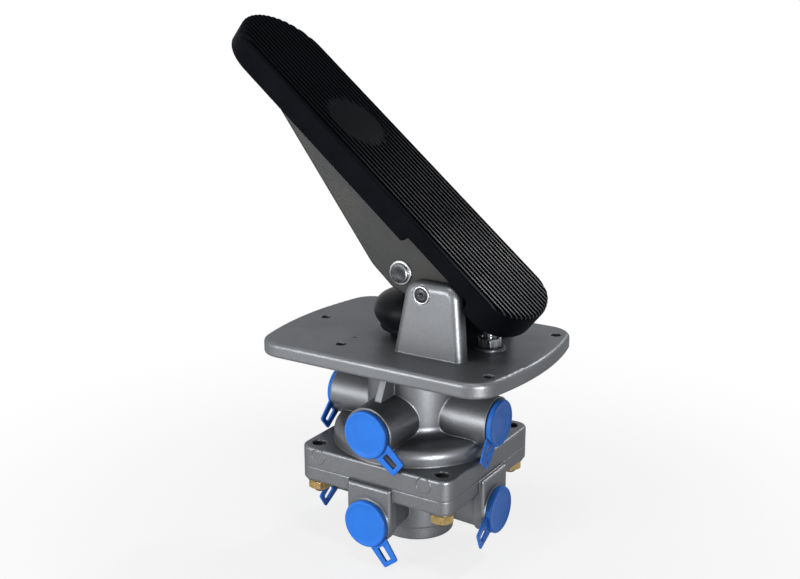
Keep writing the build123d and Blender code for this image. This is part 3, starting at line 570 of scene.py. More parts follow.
def soft_plastic(name, base, clouded):
    """Injection-moulded plastic: slight flow clouding, satin skin, painted shade darkening the recesses, and paler
    edges that are partly wear and partly a painted highlight.
    """
    g = Graph(name)
    flow = g.noise(PLASTIC_FLOW, 2.0, 0.5, 0.6)
    grain = g.noise(PLASTIC_GRAIN, 2.0, 0.5)
    soft = g.soft_edge(0.5 * MM)
    edge = g.edge_mask(soft)
    body = g.mix(g.span(flow, 0.35, 0.68), rgb(*base), rgb(*clouded))
    open_air = g.hollow(5 * MM)
    # Painted shade: the colour darkens in recesses, following the ambient occlusion mask.
    recess_painted_shade = g.mix(g.span(open_air, 0.3, 0.9), shade(base, 0.45), body)
    # Paler edges: partly wear, partly a painted highlight.
    pale_edge_wear_and_highlight = tuple(min(1.0, c * 0.8 + 0.16) for c in base)
    colour = g.mix(g.times(edge, 0.4), recess_painted_shade, rgb(*pale_edge_wear_and_highlight))
    rough = g.span(flow, 0.3, 0.7, 0.38, 0.5)
    normal = g.bump(grain, 0.08, 0.1 * MM, soft)
    return g.finish(colour, rough, normal, 0.0, Specular_IOR_Level=0.14)


materials = {
    "cast_grey": cast_metal("cast_grey", (0.172, 0.179, 0.191), (0.140, 0.143, 0.148)),
    "pedal_cast": cast_metal("pedal_cast", (0.037, 0.0365, 0.034), (0.030, 0.031, 0.032)),
    "black_rubber": moulded_rubber("black_rubber", (0.0042, 0.0046, 0.0060), (0.0058, 0.0062, 0.0080)),
    "ribbed_rubber": ribbed_rubber("ribbed_rubber", (0.0052, 0.0058, 0.0078), (0.034, 0.037, 0.044)),
    "seal_rubber": moulded_rubber("seal_rubber", (0.012, 0.012, 0.012), (0.018, 0.018, 0.017), 0.3),
    "zinc_yellow": plated_steel("zinc_yellow", (0.46, 0.29, 0.13), (0.27, 0.23, 0.085), 0.24, 0.38),
    "dark_zinc": plated_steel("dark_zinc", (0.10, 0.085, 0.06), (0.16, 0.13, 0.06), 0.34, 0.5),
    # Studs coloured dark so that the stud holes in the flange look dark: painted shade.
    "stud_painted_shade": plated_steel("stud_painted_shade", (0.055, 0.050, 0.045), (0.10, 0.08, 0.05), 0.34, 0.5),
    "dark_face": plated_steel("dark_face", (0.020, 0.021, 0.024), (0.055, 0.057, 0.060), 0.3, 0.55),
    "zinc_clear": plated_steel("zinc_clear", (0.50, 0.52, 0.55), (0.40, 0.42, 0.45), 0.20, 0.34),
    "steel": plated_steel("steel", (0.30, 0.31, 0.32), (0.20, 0.21, 0.215), 0.28, 0.44),
    "bearing_bronze": plated_steel("bearing_bronze", (0.52, 0.50, 0.46), (0.42, 0.40, 0.36), 0.25, 0.4),
    "piston_alloy": plated_steel("piston_alloy", (0.55, 0.56, 0.58), (0.48, 0.49, 0.50), 0.25, 0.38),
    "blue_plastic": soft_plastic("blue_plastic", (0.030, 0.208, 0.80), (0.026, 0.188, 0.72)),
    "guide_plastic": soft_plastic("guide_plastic", (0.70, 0.68, 0.62), (0.64, 0.62, 0.56)),
}


def dress_frame():
    """Gives every CAD node the finish of its record slot."""
    for name, node in frame["nodes"].items():
        look = "pedal_cast" if name == "treadle_arm" else slot_of[name]
        node.data.materials.clear()
        node.data.materials.append(materials[look])


# Pad
def round_in(radius, angles):
    """Distances from an edge of the lines that follow its rounding."""
    return [radius * (1 - math.cos(math.radians(a))) for a in angles]


def pad_low_u(y):
    """The pad outline's heel end at this y: a wide arc with rounded corners."""
    y = abs(y)
    centre = PAD_HEEL + PAD_HEEL_ARC
    corner_y = PAD_HALF - PAD_HEEL_CORNER
    corner_u = centre - math.sqrt((PAD_HEEL_ARC - PAD_HEEL_CORNER) ** 2 - corner_y**2)
    meeting_y = corner_y * PAD_HEEL_ARC / (PAD_HEEL_ARC - PAD_HEEL_CORNER)
    if y < meeting_y:
        return centre - math.sqrt(PAD_HEEL_ARC**2 - y**2)
    return corner_u - math.sqrt(max(0.0, PAD_HEEL_CORNER**2 - (y - corner_y) ** 2))


def pad_high_u(y):
    """The pad outline's toe end at this y: a half circle."""
    return PAD_TOE - PAD_HALF + math.sqrt(max(0.0, PAD_HALF**2 - y**2))


def pad_columns():
    """The y of every column of the pad's top: dense over each groove and at the side edges."""
    inner = PAD_HALF - PAD_EDGE - COLUMN_GAP
    step = RIB_PITCH / COLUMNS_PER_RIB
    count = int(inner / step)
    middle = [k * step for k in range(-count, count + 1)]
    sides = [PAD_HALF - e for e in round_in(PAD_EDGE, EDGE_ANGLES)]
    return sorted([-s for s in sides] + [m for m in middle if abs(m) < inner] + sides)


def pad_row_u(y):
    """The u of every row in one column: dense at both ends and along the notch's corners."""
    low, high = pad_low_u(y), pad_high_u(y)
    heel_mark, knee_mark, toe_mark = NOTCH_HEEL - HEEL_ZONE, NOTCH_TOE + KNEE_ZONE, PAD_TOE - PAD_HALF - TOE_ZONE
    end = round_in(PAD_EDGE, EDGE_ANGLES)
    heel_run, toe_run = heel_mark - low - PAD_EDGE, high - PAD_EDGE - toe_mark
    rows = [low + e for e in end]
    rows += [low + PAD_EDGE + heel_run * k / HEEL_ROWS for k in range(1, HEEL_ROWS)]
    for mark, turn in ((NOTCH_HEEL, 1), (NOTCH_TOE, -1)):
        rows += [mark - turn * NOTCH_LIP * share for share in NOTCH_LIP_SHARES]
        rows += [mark + turn * e for e in round_in(NOTCH_CORNER, NOTCH_ANGLES)]
    rows += [heel_mark] + [NOTCH_HEEL + PLAIN_START + PLAIN_STEP * k for k in range(PLAIN_ROWS)]
    rows += [knee_mark + (toe_mark - knee_mark) * k / LONG_ROWS for k in range(LONG_ROWS + 1)]
    rows += [high - PAD_EDGE - toe_run * k / TOE_ROWS for k in range(1, TOE_ROWS)]
    rows += [high - e for e in end]
    return sorted(rows)


def pad_outline():
    """Points along the pad's outline, toe end first."""
    ys = np.unique(np.concatenate([PAD_HALF * np.cos(np.radians(np.arange(0, 90.1, 1.5))), [0.0]]))
    ys = np.concatenate([-ys[::-1], ys[1:]])
    toe = [(pad_high_u(y), y) for y in ys]
    heel = [(pad_low_u(y), y) for y in ys[::-1]]
    return np.array(toe + heel)


def edge_distance(outline, points):
    """Each point's distance to the outline, and the outward direction there."""
    a = outline
    b = np.roll(outline, -1, axis=0)
    run = b - a
    length = (run**2).sum(1)
    keep = length > 1e-12
    a, run, length = a[keep], run[keep], length[keep]
    outward = np.stack([run[:, 1], -run[:, 0]], 1) / np.sqrt(length)[:, None]
    centre = np.array(((PAD_TOE + PAD_HEEL) / 2, 0.0))
    flip = ((a - centre) * outward).sum(1) < 0
    outward[flip] *= -1
    best = np.full(len(points), 1e9)
    facing = np.zeros((len(points), 2))
    for start, step, size, out in zip(a, run, length, outward):
        t = np.clip(((points - start) @ step) / size, 0, 1)
        gap = np.hypot(*(points - start - t[:, None] * step).T)
        closer = gap < best - 1e-9
        best[closer] = gap[closer]
        facing[closer] = out
    return best, facing


def groove_share(y):
    """1 in the middle of a groove, 0 on a rib's rounded crown."""
    off = np.abs(y) / RIB_PITCH
    inside = off < RIB_GROOVES / 2
    near = np.abs(off - np.round(off)) * RIB_PITCH
    wall = np.clip((near - GROOVE_FLOOR) / GROOVE_WALL, 0, 1)
    cut = 1 - wall * wall * (3 - 2 * wall)
    crown = CROWN_SINK * np.clip((near - CROWN_FLAT) / CROWN_ROUND, -1, 0) ** 2
    return np.where(inside, np.clip(cut + crown, 0, 1), 0.0)


def on_heel(points):
    """The stretch of the heel's edge where the grooves stop short."""
    return (points[:, 0] < HEEL_STOP_U) & (points[:, 1] < HEEL_STOP_Y)


def skirt_foot(u, y):
    """The height of the skirt's lower edge: it is cut back between the pedal's heel and knee."""
    base = PAD_HEEL_SKIRT if u < NOTCH_HEEL else PAD_SKIRT
    outside = max(NOTCH_HEEL - u, u - NOTCH_TOE)
    if abs(y) < PAD_HALF - NOTCH_SIDE or outside > NOTCH_LIP:
        return base
    if outside > 0:
        return base + NOTCH_LIP - math.sqrt(NOTCH_LIP**2 - (NOTCH_LIP - outside) ** 2)
    from_end = -outside
    if from_end >= NOTCH_CORNER:
        return NOTCH_TOP
    return NOTCH_TOP - NOTCH_CORNER + math.sqrt(NOTCH_CORNER**2 - (NOTCH_CORNER - from_end) ** 2)


def pad_top(shape, columns, rows):
    """Adds the pad's ribbed top and round panel; returns its plan points and their outward directions."""
    flat = np.array([(u, y) for y in columns for u in pad_row_u(y)])
    gap, facing = edge_distance(pad_outline(), flat)
    inward = np.clip(gap, 0, PAD_EDGE)
    rise = np.sqrt(np.clip(PAD_EDGE**2 - (PAD_EDGE - inward) ** 2, 0, None))
    tilt = (PAD_EDGE - inward) / PAD_EDGE
    on_panel = np.hypot(flat[:, 0] - PANEL_U, flat[:, 1])
    panel = np.clip((PANEL_R - on_panel) / PANEL_EDGE, 0, 1)
    rim = np.exp(-(((on_panel - PANEL_R - RIM_OFFSET) / RIM_WIDTH) ** 2))
    grooves = groove_share(flat[:, 1]) * (1 - panel) * (1 - rim)
    stopped = grooves * np.clip((gap - HEEL_STOP_LAND) / HEEL_STOP_RAMP, 0, 1)
    sink = GROOVE_DEPTH * np.where(on_heel(flat), stopped, grooves) + PANEL_SINK * panel
    side = tilt[:, None] * facing * sink[:, None]
    up = PAD_TOP - PAD_EDGE + rise - np.sqrt(1 - np.clip(tilt, 0, 1) ** 2) * sink
    grid = np.column_stack([flat[:, 0] - side[:, 0], flat[:, 1] - side[:, 1], up])
    numbers = np.array(shape.loop(grid)).reshape(len(columns), rows)
    for a, b in zip(numbers, numbers[1:]):
        shape.bridge(list(a), list(b), closed=False)
    return flat, facing


def treadle_pad():
    """The ribbed pad: its top, a skirt down its sides with a rolled foot, and the hollow behind it."""
    columns = pad_columns()
    rows = len(pad_row_u(0.0))
    shape = Shape(lambda p: pedal_point(*p))
    flat, facing = pad_top(shape, columns, rows)
    last = (len(columns) - 1) * rows
    border = list(range(rows))
    border += [c * rows + rows - 1 for c in range(1, len(columns))]
    border += [last + k for k in range(rows - 2, -1, -1)]
    border += [c * rows for c in range(len(columns) - 2, 0, -1)]
    rim_flat = flat[border]
    rim_facing = facing[border]
    rim_share = np.where(on_heel(rim_flat), 0.0, groove_share(rim_flat[:, 1]))
    foot = np.array([skirt_foot(u, y) for u, y in rim_flat])
    loops = [border]
    for drop in SKIRT_DROPS:
        fade = SKIRT_GROOVE_FADE if drop == SKIRT_DROPS[0] else 0.0
        out = rim_flat - rim_facing * (GROOVE_DEPTH * rim_share * fade)[:, None]
        n = np.maximum(np.full(len(out), PAD_TOP - PAD_EDGE - drop), foot + SKIRT_LIP)
        loops.append(shape.loop(np.column_stack([out, n])))
    lip, roll = SKIRT_LIP, SKIRT_LIP * 0.3
    for inset, above in ((0.0, lip), (roll, roll), (lip, 0.0), (PAD_WALL - lip, 0.0), (PAD_WALL, lip)):
        inner = rim_flat - rim_facing * inset
        loops.append(shape.loop(np.column_stack([inner, foot + above])))
    roof = rim_flat - rim_facing * PAD_WALL
    loops.append(shape.loop(np.column_stack([roof, np.full(len(roof), PAD_ROOF)])))
    for a, b in zip(loops, loops[1:]):
        shape.bridge(a, b)
    shape.cap(loops[-1])
    new_piece("ribbed_pad", shape, "pedal", "black_rubber", ["treadle_pad"], 55.0, "ribbed_rubber")


# Turned and moulded pieces
def port_place(side, level):
    """Places points drawn as sideways, up and outwards at one port."""
    turn = math.radians(PORT_TURN[side])
    out, across = Vector((math.cos(turn), math.sin(turn), 0)), Vector((-math.sin(turn), math.cos(turn), 0))
    return lambda p: (out * p[2] + across * p[0] + Vector((0, 0, level + p[1]))) * MM


def cross_place(x, z):
    """Places points drawn about a bar that runs along Y."""
    return lambda p: Vector((x + p[0], p[2], z + p[1])) * MM


def upright_place(x, y):
    """Places points drawn about an upright axis."""
    return lambda p: Vector((x + p[0], y + p[1], p[2])) * MM


def arc_points(r, z, half_r, half_z, angles):
    """Profile points of an ellipse about (r, z), at angles in degrees."""
    turns = [math.radians(a) for a in angles]
    return [(r + half_r * math.cos(t), z + half_z * math.sin(t)) for t in turns]


def corner_loop(corners, radius, inset=0.0, steps=5):
    """Points of a quadrilateral with rounded corners, pulled in by an inset."""
    centre = sum((Vector(c) for c in corners), Vector((0, 0))) / len(corners)
    moved = []
    for c in corners:
        away = Vector(c) - centre
        moved.append(Vector(c) - Vector((math.copysign(inset, away.x), math.copysign(inset, away.y))))
    points = []
    for i, corner in enumerate(moved):
        before, after = moved[i - 1], moved[(i + 1) % len(moved)]
        start = corner + (before - corner).normalized() * radius
        end = corner + (after - corner).normalized() * radius
        for k in range(steps + 1):
            t = k / steps
            points.append(start * (1 - t) ** 2 + corner * 2 * t * (1 - t) + end * t**2)
    return points


def pull_tab(shape, reach, lean, cock):
    """Adds a plug's flared pull tab with its window, turned by lean and bent outwards by cock."""
    c, s = math.cos(lean), math.sin(lean)

    def tab_loop(points, height):
        placed = []
        for a, b in points:
            along = b - PLUG_R
            lift = reach + height + cock * max(0.0, -b) ** 2 / TAB_LENGTH
            placed.append((a * c - along * s, a * s + along * c, lift))
        return shape.loop(placed)

    half, hole = TAB_WIDTH / 2, TAB_WINDOW_W / 2
    tip = -TAB_LENGTH
    low = tip + TAB_FRAME
    high = low + TAB_WINDOW_L
    outline = [(-half - TAB_FLARE, TAB_ROOT), (half + TAB_FLARE, TAB_ROOT), (half, tip), (-half, tip)]
    window = [(-hole, high), (hole, high), (hole, low), (-hole, low)]
    bottom, above_bottom, below_top = TAB_BASE, TAB_BASE + TAB_BEVEL, TAB_T - TAB_BEVEL
    loops = [
        tab_loop(corner_loop(outline, 1.3, TAB_BEVEL), bottom),
        tab_loop(corner_loop(outline, 1.5), above_bottom),
        tab_loop(corner_loop(outline, 1.5), below_top),
        tab_loop(corner_loop(outline, 1.3, TAB_BEVEL), TAB_T),
        tab_loop(corner_loop(window, 0.9, -TAB_BEVEL), TAB_T),
        tab_loop(corner_loop(window, 0.8), below_top),
        tab_loop(corner_loop(window, 0.8), above_bottom),
        tab_loop(corner_loop(window, 0.9, -TAB_BEVEL), bottom),
    ]
    for a, b in zip(loops, loops[1:] + loops[:1]):
        shape.bridge(a, b)


def port_cap(level_name, side):
    """A transport plug: dished disc with a rolled rim, a hollow spigot and a windowed pull tab."""
    reach, level = PORTS[level_name]
    shape = Shape(port_place(side, level))
    spigot, roll = PLUG_SPIGOT_R, PLUG_ROLL
    inner = [(spigot - 1.2, -0.2), (spigot - 1.2, -6.6), (spigot - 0.9, -6.95)]
    outer = [(spigot - 0.4, -6.95), (spigot - 0.05, -6.3), (spigot, -3.2), (spigot - 0.08, -2.4), (spigot, -1.6)]
    edge = [(PLUG_R - 0.5, 0.0), (PLUG_R - 0.12, 0.18), (PLUG_R, 0.6), (PLUG_R, PLUG_T - roll)]
    edge += arc_points(PLUG_R - roll, PLUG_T - roll, roll, roll, range(15, 91, 15))
    face = [(PLUG_R - 1.6, PLUG_T), (PLUG_R - 2.1, PLUG_T - 0.22)]
    face += [(PLUG_R - 4.0, PLUG_T - 0.3), (3.0, PLUG_T - 0.34)]
    profile = inner + outer + [(spigot, 0.0)] + edge + face
    shape.solid_lathe([(r, reach + h) for r, h in profile], segments=72)
    cock = TAB_COCK.get((level_name, side), 0.0)
    pull_tab(shape, reach, math.radians(TAB_LEAN[(level_name, side)]), cock)
    node = f"{level_name}_{side}_plug"
    new_piece(f"{node}_cap", shape, "housing", "blue_plastic", [node], 35.0)


def hex_radius(across_flats, angle):
    """The distance from a hexagon's middle to its side at this angle."""
    off = angle % (math.pi / 3) - math.pi / 6
    return across_flats / 2 / math.cos(off)


def hex_nut(shape, across_flats, hole_r, low, high):
    """A chamfered hexagonal nut with a countersunk hole."""
    half = across_flats / 2
    sides = [(low, 0.96), (low + 0.25, 1.03), (low + 0.55, 1.1), (low + 0.8, 1.2)]
    sides += [(low + high - z, share) for z, share in reversed(sides)]
    profile = [(half * share, z) for z, share in sides]
    sunk = hole_r + NUT_SINK
    profile += [(sunk, high), (hole_r, high - NUT_SINK), (hole_r, low + NUT_SINK), (sunk, low)]

    def wobble(r, z, angle):
        return min(r, hex_radius(across_flats, angle)) if r > half * 0.9 else r

    shape.ring_lathe(profile, segments=72, wobble=wobble)


def threaded_bar(shape, radius, low, high, thread_low, thread_high):
    """A stud with chamfered ends and a helical thread over part of its length."""
    step = THREAD_PITCH / THREAD_ROWS
    steps = [low, low + 0.05]
    steps += [thread_low + step * k for k in range(int((thread_high - thread_low) / step) + 1)]
    levels = sorted({low, low + BAR_SHOULDER, high - BAR_SHOULDER, high, *steps})

    def wobble(r, z, angle):
        if r < radius - 0.3 or not thread_low <= z <= thread_high:
            return r
        turn = (z / THREAD_PITCH - angle / (2 * math.pi)) % 1.0
        fade = min(1.0, (z - thread_low) / THREAD_PITCH, (thread_high - z) / THREAD_PITCH)
        return r - THREAD_DEPTH * fade * abs(2 * turn - 1)

    profile = []
    for z in levels:
        from_end = min(z - low, high - z)
        profile.append((radius - max(0.0, BAR_CHAMFER - from_end), z))
    shape.solid_lathe(profile, segments=48, wobble=wobble)


def body_fixings():
    """Four sets of stud, nut and washer at the flange's corners."""
    nuts, studs, washers = (Shape() for _ in range(3))
    for x in (-1, 1):
        for y in (-1, 1):
            place = upright_place(x * STUD_OFFSET, y * STUD_OFFSET)
            for shape in (nuts, studs, washers):
                shape.place = place
            hex_nut(nuts, NUT_AF, STUD_R, NUT_LOW, NUT_HIGH)
            threaded_bar(studs, STUD_R, STUD_LOW, STUD_HIGH, STUD_LOW + 0.4, NUT_LOW + 1.5)
            rim = [(WASHER_HOLE_R, WASHER_LOW), (WASHER_R - 0.35, WASHER_LOW), (WASHER_R, WASHER_LOW + 0.35)]
            rim += [(WASHER_R, WASHER_HIGH - 0.2), (WASHER_R - 0.2, WASHER_HIGH), (WASHER_HOLE_R, WASHER_HIGH)]
            washers.ring_lathe(rim, segments=64)
    new_piece("chamfered_nuts", nuts, "housing", "zinc_yellow", ["body_nuts"], 30.0)
    # The studs wear a dark colour as painted shade in their holes.
    new_piece("threaded_studs", studs, "housing", "zinc_yellow", ["body_studs"], 50.0, "stud_painted_shade")
    new_piece("flat_washers", washers, "housing", "zinc_yellow", ["body_washers"], 30.0, "dark_zinc")


def stop_fixings():
    """The heel stop: threaded screw with its hexagonal head below and its lock nut above."""
    place = upright_place(STOP_X, 0)
    screw = Shape(place)
    threaded_bar(screw, STUD_R, BODY_SEAT, STOP_TOP, PLATE_TOP + 1.6, STOP_TOP - 0.9)
    head = Shape(place)
    hex_nut(head, NUT_AF, 1.6, STOP_HEAD_LOW, BODY_SEAT)
    screw.add(head)
    new_piece("threaded_stop", screw, "housing", "zinc_clear", ["stop_screw"], 50.0)
    nut = Shape(place)
    hex_nut(nut, NUT_AF, STUD_R, PLATE_TOP + STOP_PAD_H, PLATE_TOP + STOP_PAD_H + NUT_HIGH - NUT_LOW)
    new_piece("stop_lock_nut", nut, "housing", "zinc_clear", ["stop_nut"], 30.0)


def pivot_fixings():
    """The pivot pin with centre-drilled ends, and its flanged bushes."""
    pivot_x, pivot_z = PIVOT.x / MM, PIVOT.z / MM
    pin = Shape(cross_place(pivot_x, pivot_z))
    end = [(0.5, PIN_REACH - 0.85), (1.3, PIN_REACH - 0.35), (1.6, PIN_REACH - 0.05), (3.3, PIN_REACH)]
    end += [(3.75, PIN_REACH - 0.15), (PIN_R, PIN_REACH - 0.5), (PIN_R, 20.0)]
    pin.solid_lathe([(r, -y) for r, y in end] + [(r, y) for r, y in reversed(end)], segments=64)
    new_piece("drilled_pin", pin, "housing", "steel", ["pivot_pin"], 40.0, "dark_face")
    bushes = Shape(cross_place(pivot_x, pivot_z))
    for side in (-1, 1):
        ring = [(PIN_R + 0.02, EAR_INNER), (BUSH_R - 0.3, EAR_INNER), (BUSH_R, EAR_INNER + 0.3)]
        ring += [(BUSH_R, BUSH_REACH - 0.4), (BUSH_R - 0.15, BUSH_REACH - 0.1), (BUSH_R - 0.5, BUSH_REACH)]
        ring += [(PIN_R + 0.45, BUSH_REACH - 0.05), (PIN_R + 0.02, BUSH_REACH - 0.4)]
        bushes.ring_lathe([(r, side * y) for r, y in ring], segments=64)
    new_piece("turned_bushes", bushes, "housing", "bearing_bronze", ["pivot_bushes"], 40.0, "zinc_clear")


def roller_fixings():
    """The headed roller pin: a dark upset head in a bright collar, and the retaining clip's groove."""
    pin = Shape(cross_place(ROLLER_X, ROLLER_Z))
    web = -WEB_OUTER
    head = [(0.6, web - 2.75), (2.6, web - 2.8), (4.2, web - 2.95), (5.0, web - 2.85), (5.5, web - 2.5)]
    head += [(5.8, web - 2.0), (5.8, web - 0.9), (6.9, web - 0.8), (7.3, web - 0.5), (7.3, web), (PIN_R, web)]
    tail = WEB_OUTER + 2.1
    shank = [(PIN_R, tail - 2.0), (PIN_R - 1, tail - 2.0), (PIN_R - 1, tail - 1.0), (PIN_R, tail - 1.0)]
    shank += [(PIN_R, tail - 0.4), (PIN_R - 0.4, tail)]
    pin.solid_lathe(head + shank, segments=72)
    piece = new_piece("upset_roller_pin", pin, "pedal", "steel", ["roller_pin"], 28.0)
    piece.data.materials.append(materials["dark_face"])
    for polygon in piece.data.polygons:
        depth = polygon.center.y / MM
        off = math.hypot(polygon.center.x / MM - ROLLER_X, polygon.center.z / MM - ROLLER_Z)
        if depth < web - ROLLER_HEAD_DEPTH and off < ROLLER_HEAD_R:
            polygon.material_index = 1


def boot():
    """The rubber boot: a bulging bellows over the plunger, with a lip above its foot."""
    neck = PLUNGER_R + 0.2
    outer = [(15.9, 0.0), (16.4, 0.4), (16.2, 2.4), (16.9, 3.8)]
    outer += [(20.0, 4.8), (22.0, 5.6), (22.5, 6.5), (22.2, 7.4)]
    outer += arc_points(14.8, 16.5, 11.2, 10.6, [-54 + 116 * k / 16 for k in range(1, 16)])
    outer += [(18.6, 26.6), (15.4, 28.0), (12.4, 28.7), (11.2, 29.6), (10.9, 30.6), (10.4, BOOT_H), (neck, BOOT_H)]
    inner = [(neck, 29.4), (9.6, 27.6), (14.5, 26.4), (18.0, 24.8)]
    inner += arc_points(14.4, 16.4, 9.9, 9.2, [58 - 116 * k / 14 for k in range(1, 14)])
    inner += [(17.6, 7.4), (17.4, 6.0), (15.6, 4.8), (15.05, 3.4), (15.05, 0.0)]
    shape = Shape()

    def wobble(r, z, angle):
        swell = max(0.0, (r - BOOT_WAVE_FROM) / BOOT_WAVE_OVER)
        return r + BOOT_WAVE * math.sin(3 * angle + z * 0.2) * swell

    shape.ring_lathe([(r, PLATE_TOP + z) for r, z in outer + inner], wobble=wobble)
    piece = new_piece("moulded_boot", shape, "housing", "black_rubber", ["boot"])
    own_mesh(piece)


def rubber_spring():
    """The rubber spring under the plunger, its waist drawn in between two flat ends."""
    low, high = height_span("graduating_spring")
    middle, half = (low + high) / 2, (high - low) / 2
    outer = [(13.0 - 2.2 * math.cos(math.radians(a)) ** 2 * 0.9, middle + half * math.sin(math.radians(a)))
             for a in range(-90, 91, 10)]
    bore = [(2.5, high - 0.3), (2.5, low + 0.3)]
    shape = Shape()
    shape.ring_lathe([(2.8, low)] + outer + [(2.8, high)] + bore)
    spring = new_piece("rubber_spring", shape, "primary_piston", "black_rubber", ["graduating_spring"])
    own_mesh(spring)


def round_seal(name, node, body):
    """A round-section seal ring in the space of its square solid."""
    low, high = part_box(node)
    outer = high[0] / MM
    half = (high[2] - low[2]) / MM / 2
    middle = (high[2] + low[2]) / MM / 2
    shape = Shape()
    shape.ring_lathe(arc_points(outer - half, middle, half, half, range(0, 360, 20)))
    new_piece(name, shape, body, "seal_rubber", [node])


def seat_rubber(name, node, body):
    """A valve's rubber ring, its edges rounded and its sealing land slightly raised."""
    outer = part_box(node)[1][0] / MM
    base, top = height_span(node)
    profile = [(VALVE_BORE, base), (outer - 0.3, base), (outer, base + 0.3), (outer, top - 0.5)]
    profile += [(outer - 0.2, top - 0.15), (outer - 0.6, top), (outer - 2.6, top), (outer - 3.1, top - 0.25)]
    profile += [(VALVE_BORE + 3.2, top - 0.25), (VALVE_BORE + 2.7, top)]
    profile += [(VALVE_BORE + 0.3, top), (VALVE_BORE, top - 0.3)]
    shape = Shape()
    shape.ring_lathe(profile)
    new_piece(name, shape, body, "seal_rubber", [node], 50.0)


def wire_coil(name, node, mean_r, wire, levels, turns, joint, keep):
    """A compression spring of round wire with closed ends."""
    shape = Shape()
    low, high = levels
    steps = int(turns * COIL_STEPS)
    closed = COIL_CLOSED
    loops = []
    for k in range(steps + 1):
        t = k / steps
        if t < closed:
            share = 0.5 * t * t / closed
        elif t > 1 - closed:
            share = (1 - closed) - 0.5 * (1 - t) ** 2 / closed
        else:
            share = t - closed / 2
        share /= 1 - closed
        z = low + wire / 2 + (high - low - wire) * share
        angle = 2 * math.pi * turns * t
        points = []
        for i in range(COIL_SIDES):
            around = 2 * math.pi * i / COIL_SIDES
            r = mean_r + wire / 2 * math.cos(around)
            points.append((r * math.cos(angle), r * math.sin(angle), z + wire / 2 * math.sin(around)))
        loops.append(shape.loop(points))
    for a, b in zip(loops, loops[1:]):
        shape.bridge(a, b)
    shape.cap(loops[0])
    shape.cap(loops[-1])
    piece = new_piece(name, shape, "housing", slot_of[node], [node])
    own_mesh(piece)


def exhaust_flap():
    """The exhaust's rubber flap: a dished disc held by a button through the grille."""
    flap = Shape()
    base, under, button = GRILLE_Z - 1.2, GRILLE_Z - 0.05, GRILLE_SEAT
    profile = [(1.0, base), (12.6, base + 0.1), (13.3, base + 0.45), (13.4, base + 0.9), (13.0, under)]
    profile += [(1.75, under), (1.7, button + 0.02), (2.9, button + 0.1), (2.9, button + 0.5)]
    profile += [(1.6, button + 1.15), (0.4, button + 1.2)]
    flap.solid_lathe(profile, segments=72)
    new_piece("exhaust_flap_rubber", flap, "housing", "seal_rubber", ["exhaust_flap"], 50.0)


def soft_innards():
    """The rubber and wire pieces inside the valve."""
    rubber_spring()
    round_seal("joint_ring", "joint_seal", "housing")
    round_seal("primary_ring", "primary_piston_seal", "primary_piston")
    round_seal("relay_ring", "relay_piston_seal", "relay_piston")
    seat_rubber("primary_seat_rubber", "primary_valve_rubber", "primary_valve")
    seat_rubber("secondary_seat_rubber", "secondary_valve_rubber", "secondary_valve")
    for name, coil in COILS.items():
        wire_coil(name, *coil)
    exhaust_flap()


def ejector_rings():
    """Raised ejector rings on the upper casting's front face."""
    shape = Shape()
    for x, z, radius in EJECTOR_RINGS:
        shape.place = lambda p, x=x, z=z: Vector((x + p[0], FLANGE_FACE_Y - p[2], z + p[1])) * MM
        section = [(radius - 0.5, -0.3), (radius - 0.3, 0.12), (radius, 0.3), (radius + 0.3, 0.12)]
        shape.ring_lathe(section + [(radius + 0.5, -0.3)], segments=72)
    new_piece("ejector_rings", shape, "housing", "cast_grey")


def column_nicks():
    """Two small dark marks on the column, made as low bumps; their dark colour is painted shade of small dents."""
    shape = Shape()
    for x, z, lean in NICKS:
        out = Vector((x, -math.sqrt(COLUMN_R**2 - x * x), 0)) / COLUMN_R
        side = Vector((0, 0, 1)).cross(out)
        base = out * COLUMN_R + Vector((0, 0, z))

        def place(p, out=out, side=side, base=base, lean=lean):
            upwards = Vector((0, 0, NICK_WIDTH * p[1] + lean * p[0]))
            return (base + side * (NICK_LENGTH * p[0]) + upwards + out * p[2]) * MM

        shape.place = place
        shape.solid_lathe([(1.0, -0.35), (0.9, 0.05), (0.6, 0.22), (0.2, 0.28)], segments=24)
    # The dark colour is painted shade.
    new_piece("column_nicks", shape, "housing", "cast_grey", look="dark_zinc")


# Camera, floor and light
def place_camera():
    """Puts the camera where the photograph was taken from."""
    turn, rise = CAMERA_TURN, CAMERA_RISE
    back = Vector((math.sin(turn) * math.cos(rise), -math.cos(turn) * math.cos(rise), math.sin(rise)))
    right = Vector((math.cos(turn), math.sin(turn), 0))
    up = back.cross(right)
    data = bpy.data.cameras.new("view")
    data.lens = CAMERA_LENS
    data.clip_start = CAMERA_CLIP
    camera = bpy.data.objects.new("view", data)
    bpy.context.scene.collection.objects.link(camera)
    eye = CAMERA_TARGET + back * CAMERA_DISTANCE + right * CAMERA_SIDESTEP + up * CAMERA_LIFT
    turned = Matrix((right, up, back)).transposed().to_4x4()
    camera.matrix_world = Matrix.Translation(eye) @ turned
    bpy.context.scene.camera = camera


def seen_rays(nodes, links):
    """1 for camera, glossy and transmission rays, else 0."""
    path = nodes.new("ShaderNodeLightPath")
    total = path.outputs["Is Camera Ray"]
    for name in ("Is Glossy Ray", "Is Transmission Ray"):
        greater = nodes.new("ShaderNodeMath")
        greater.operation = "MAXIMUM"
        links.new(total, greater.inputs[0])
        links.new(path.outputs[name], greater.inputs[1])
        total = greater.outputs[0]
    return total


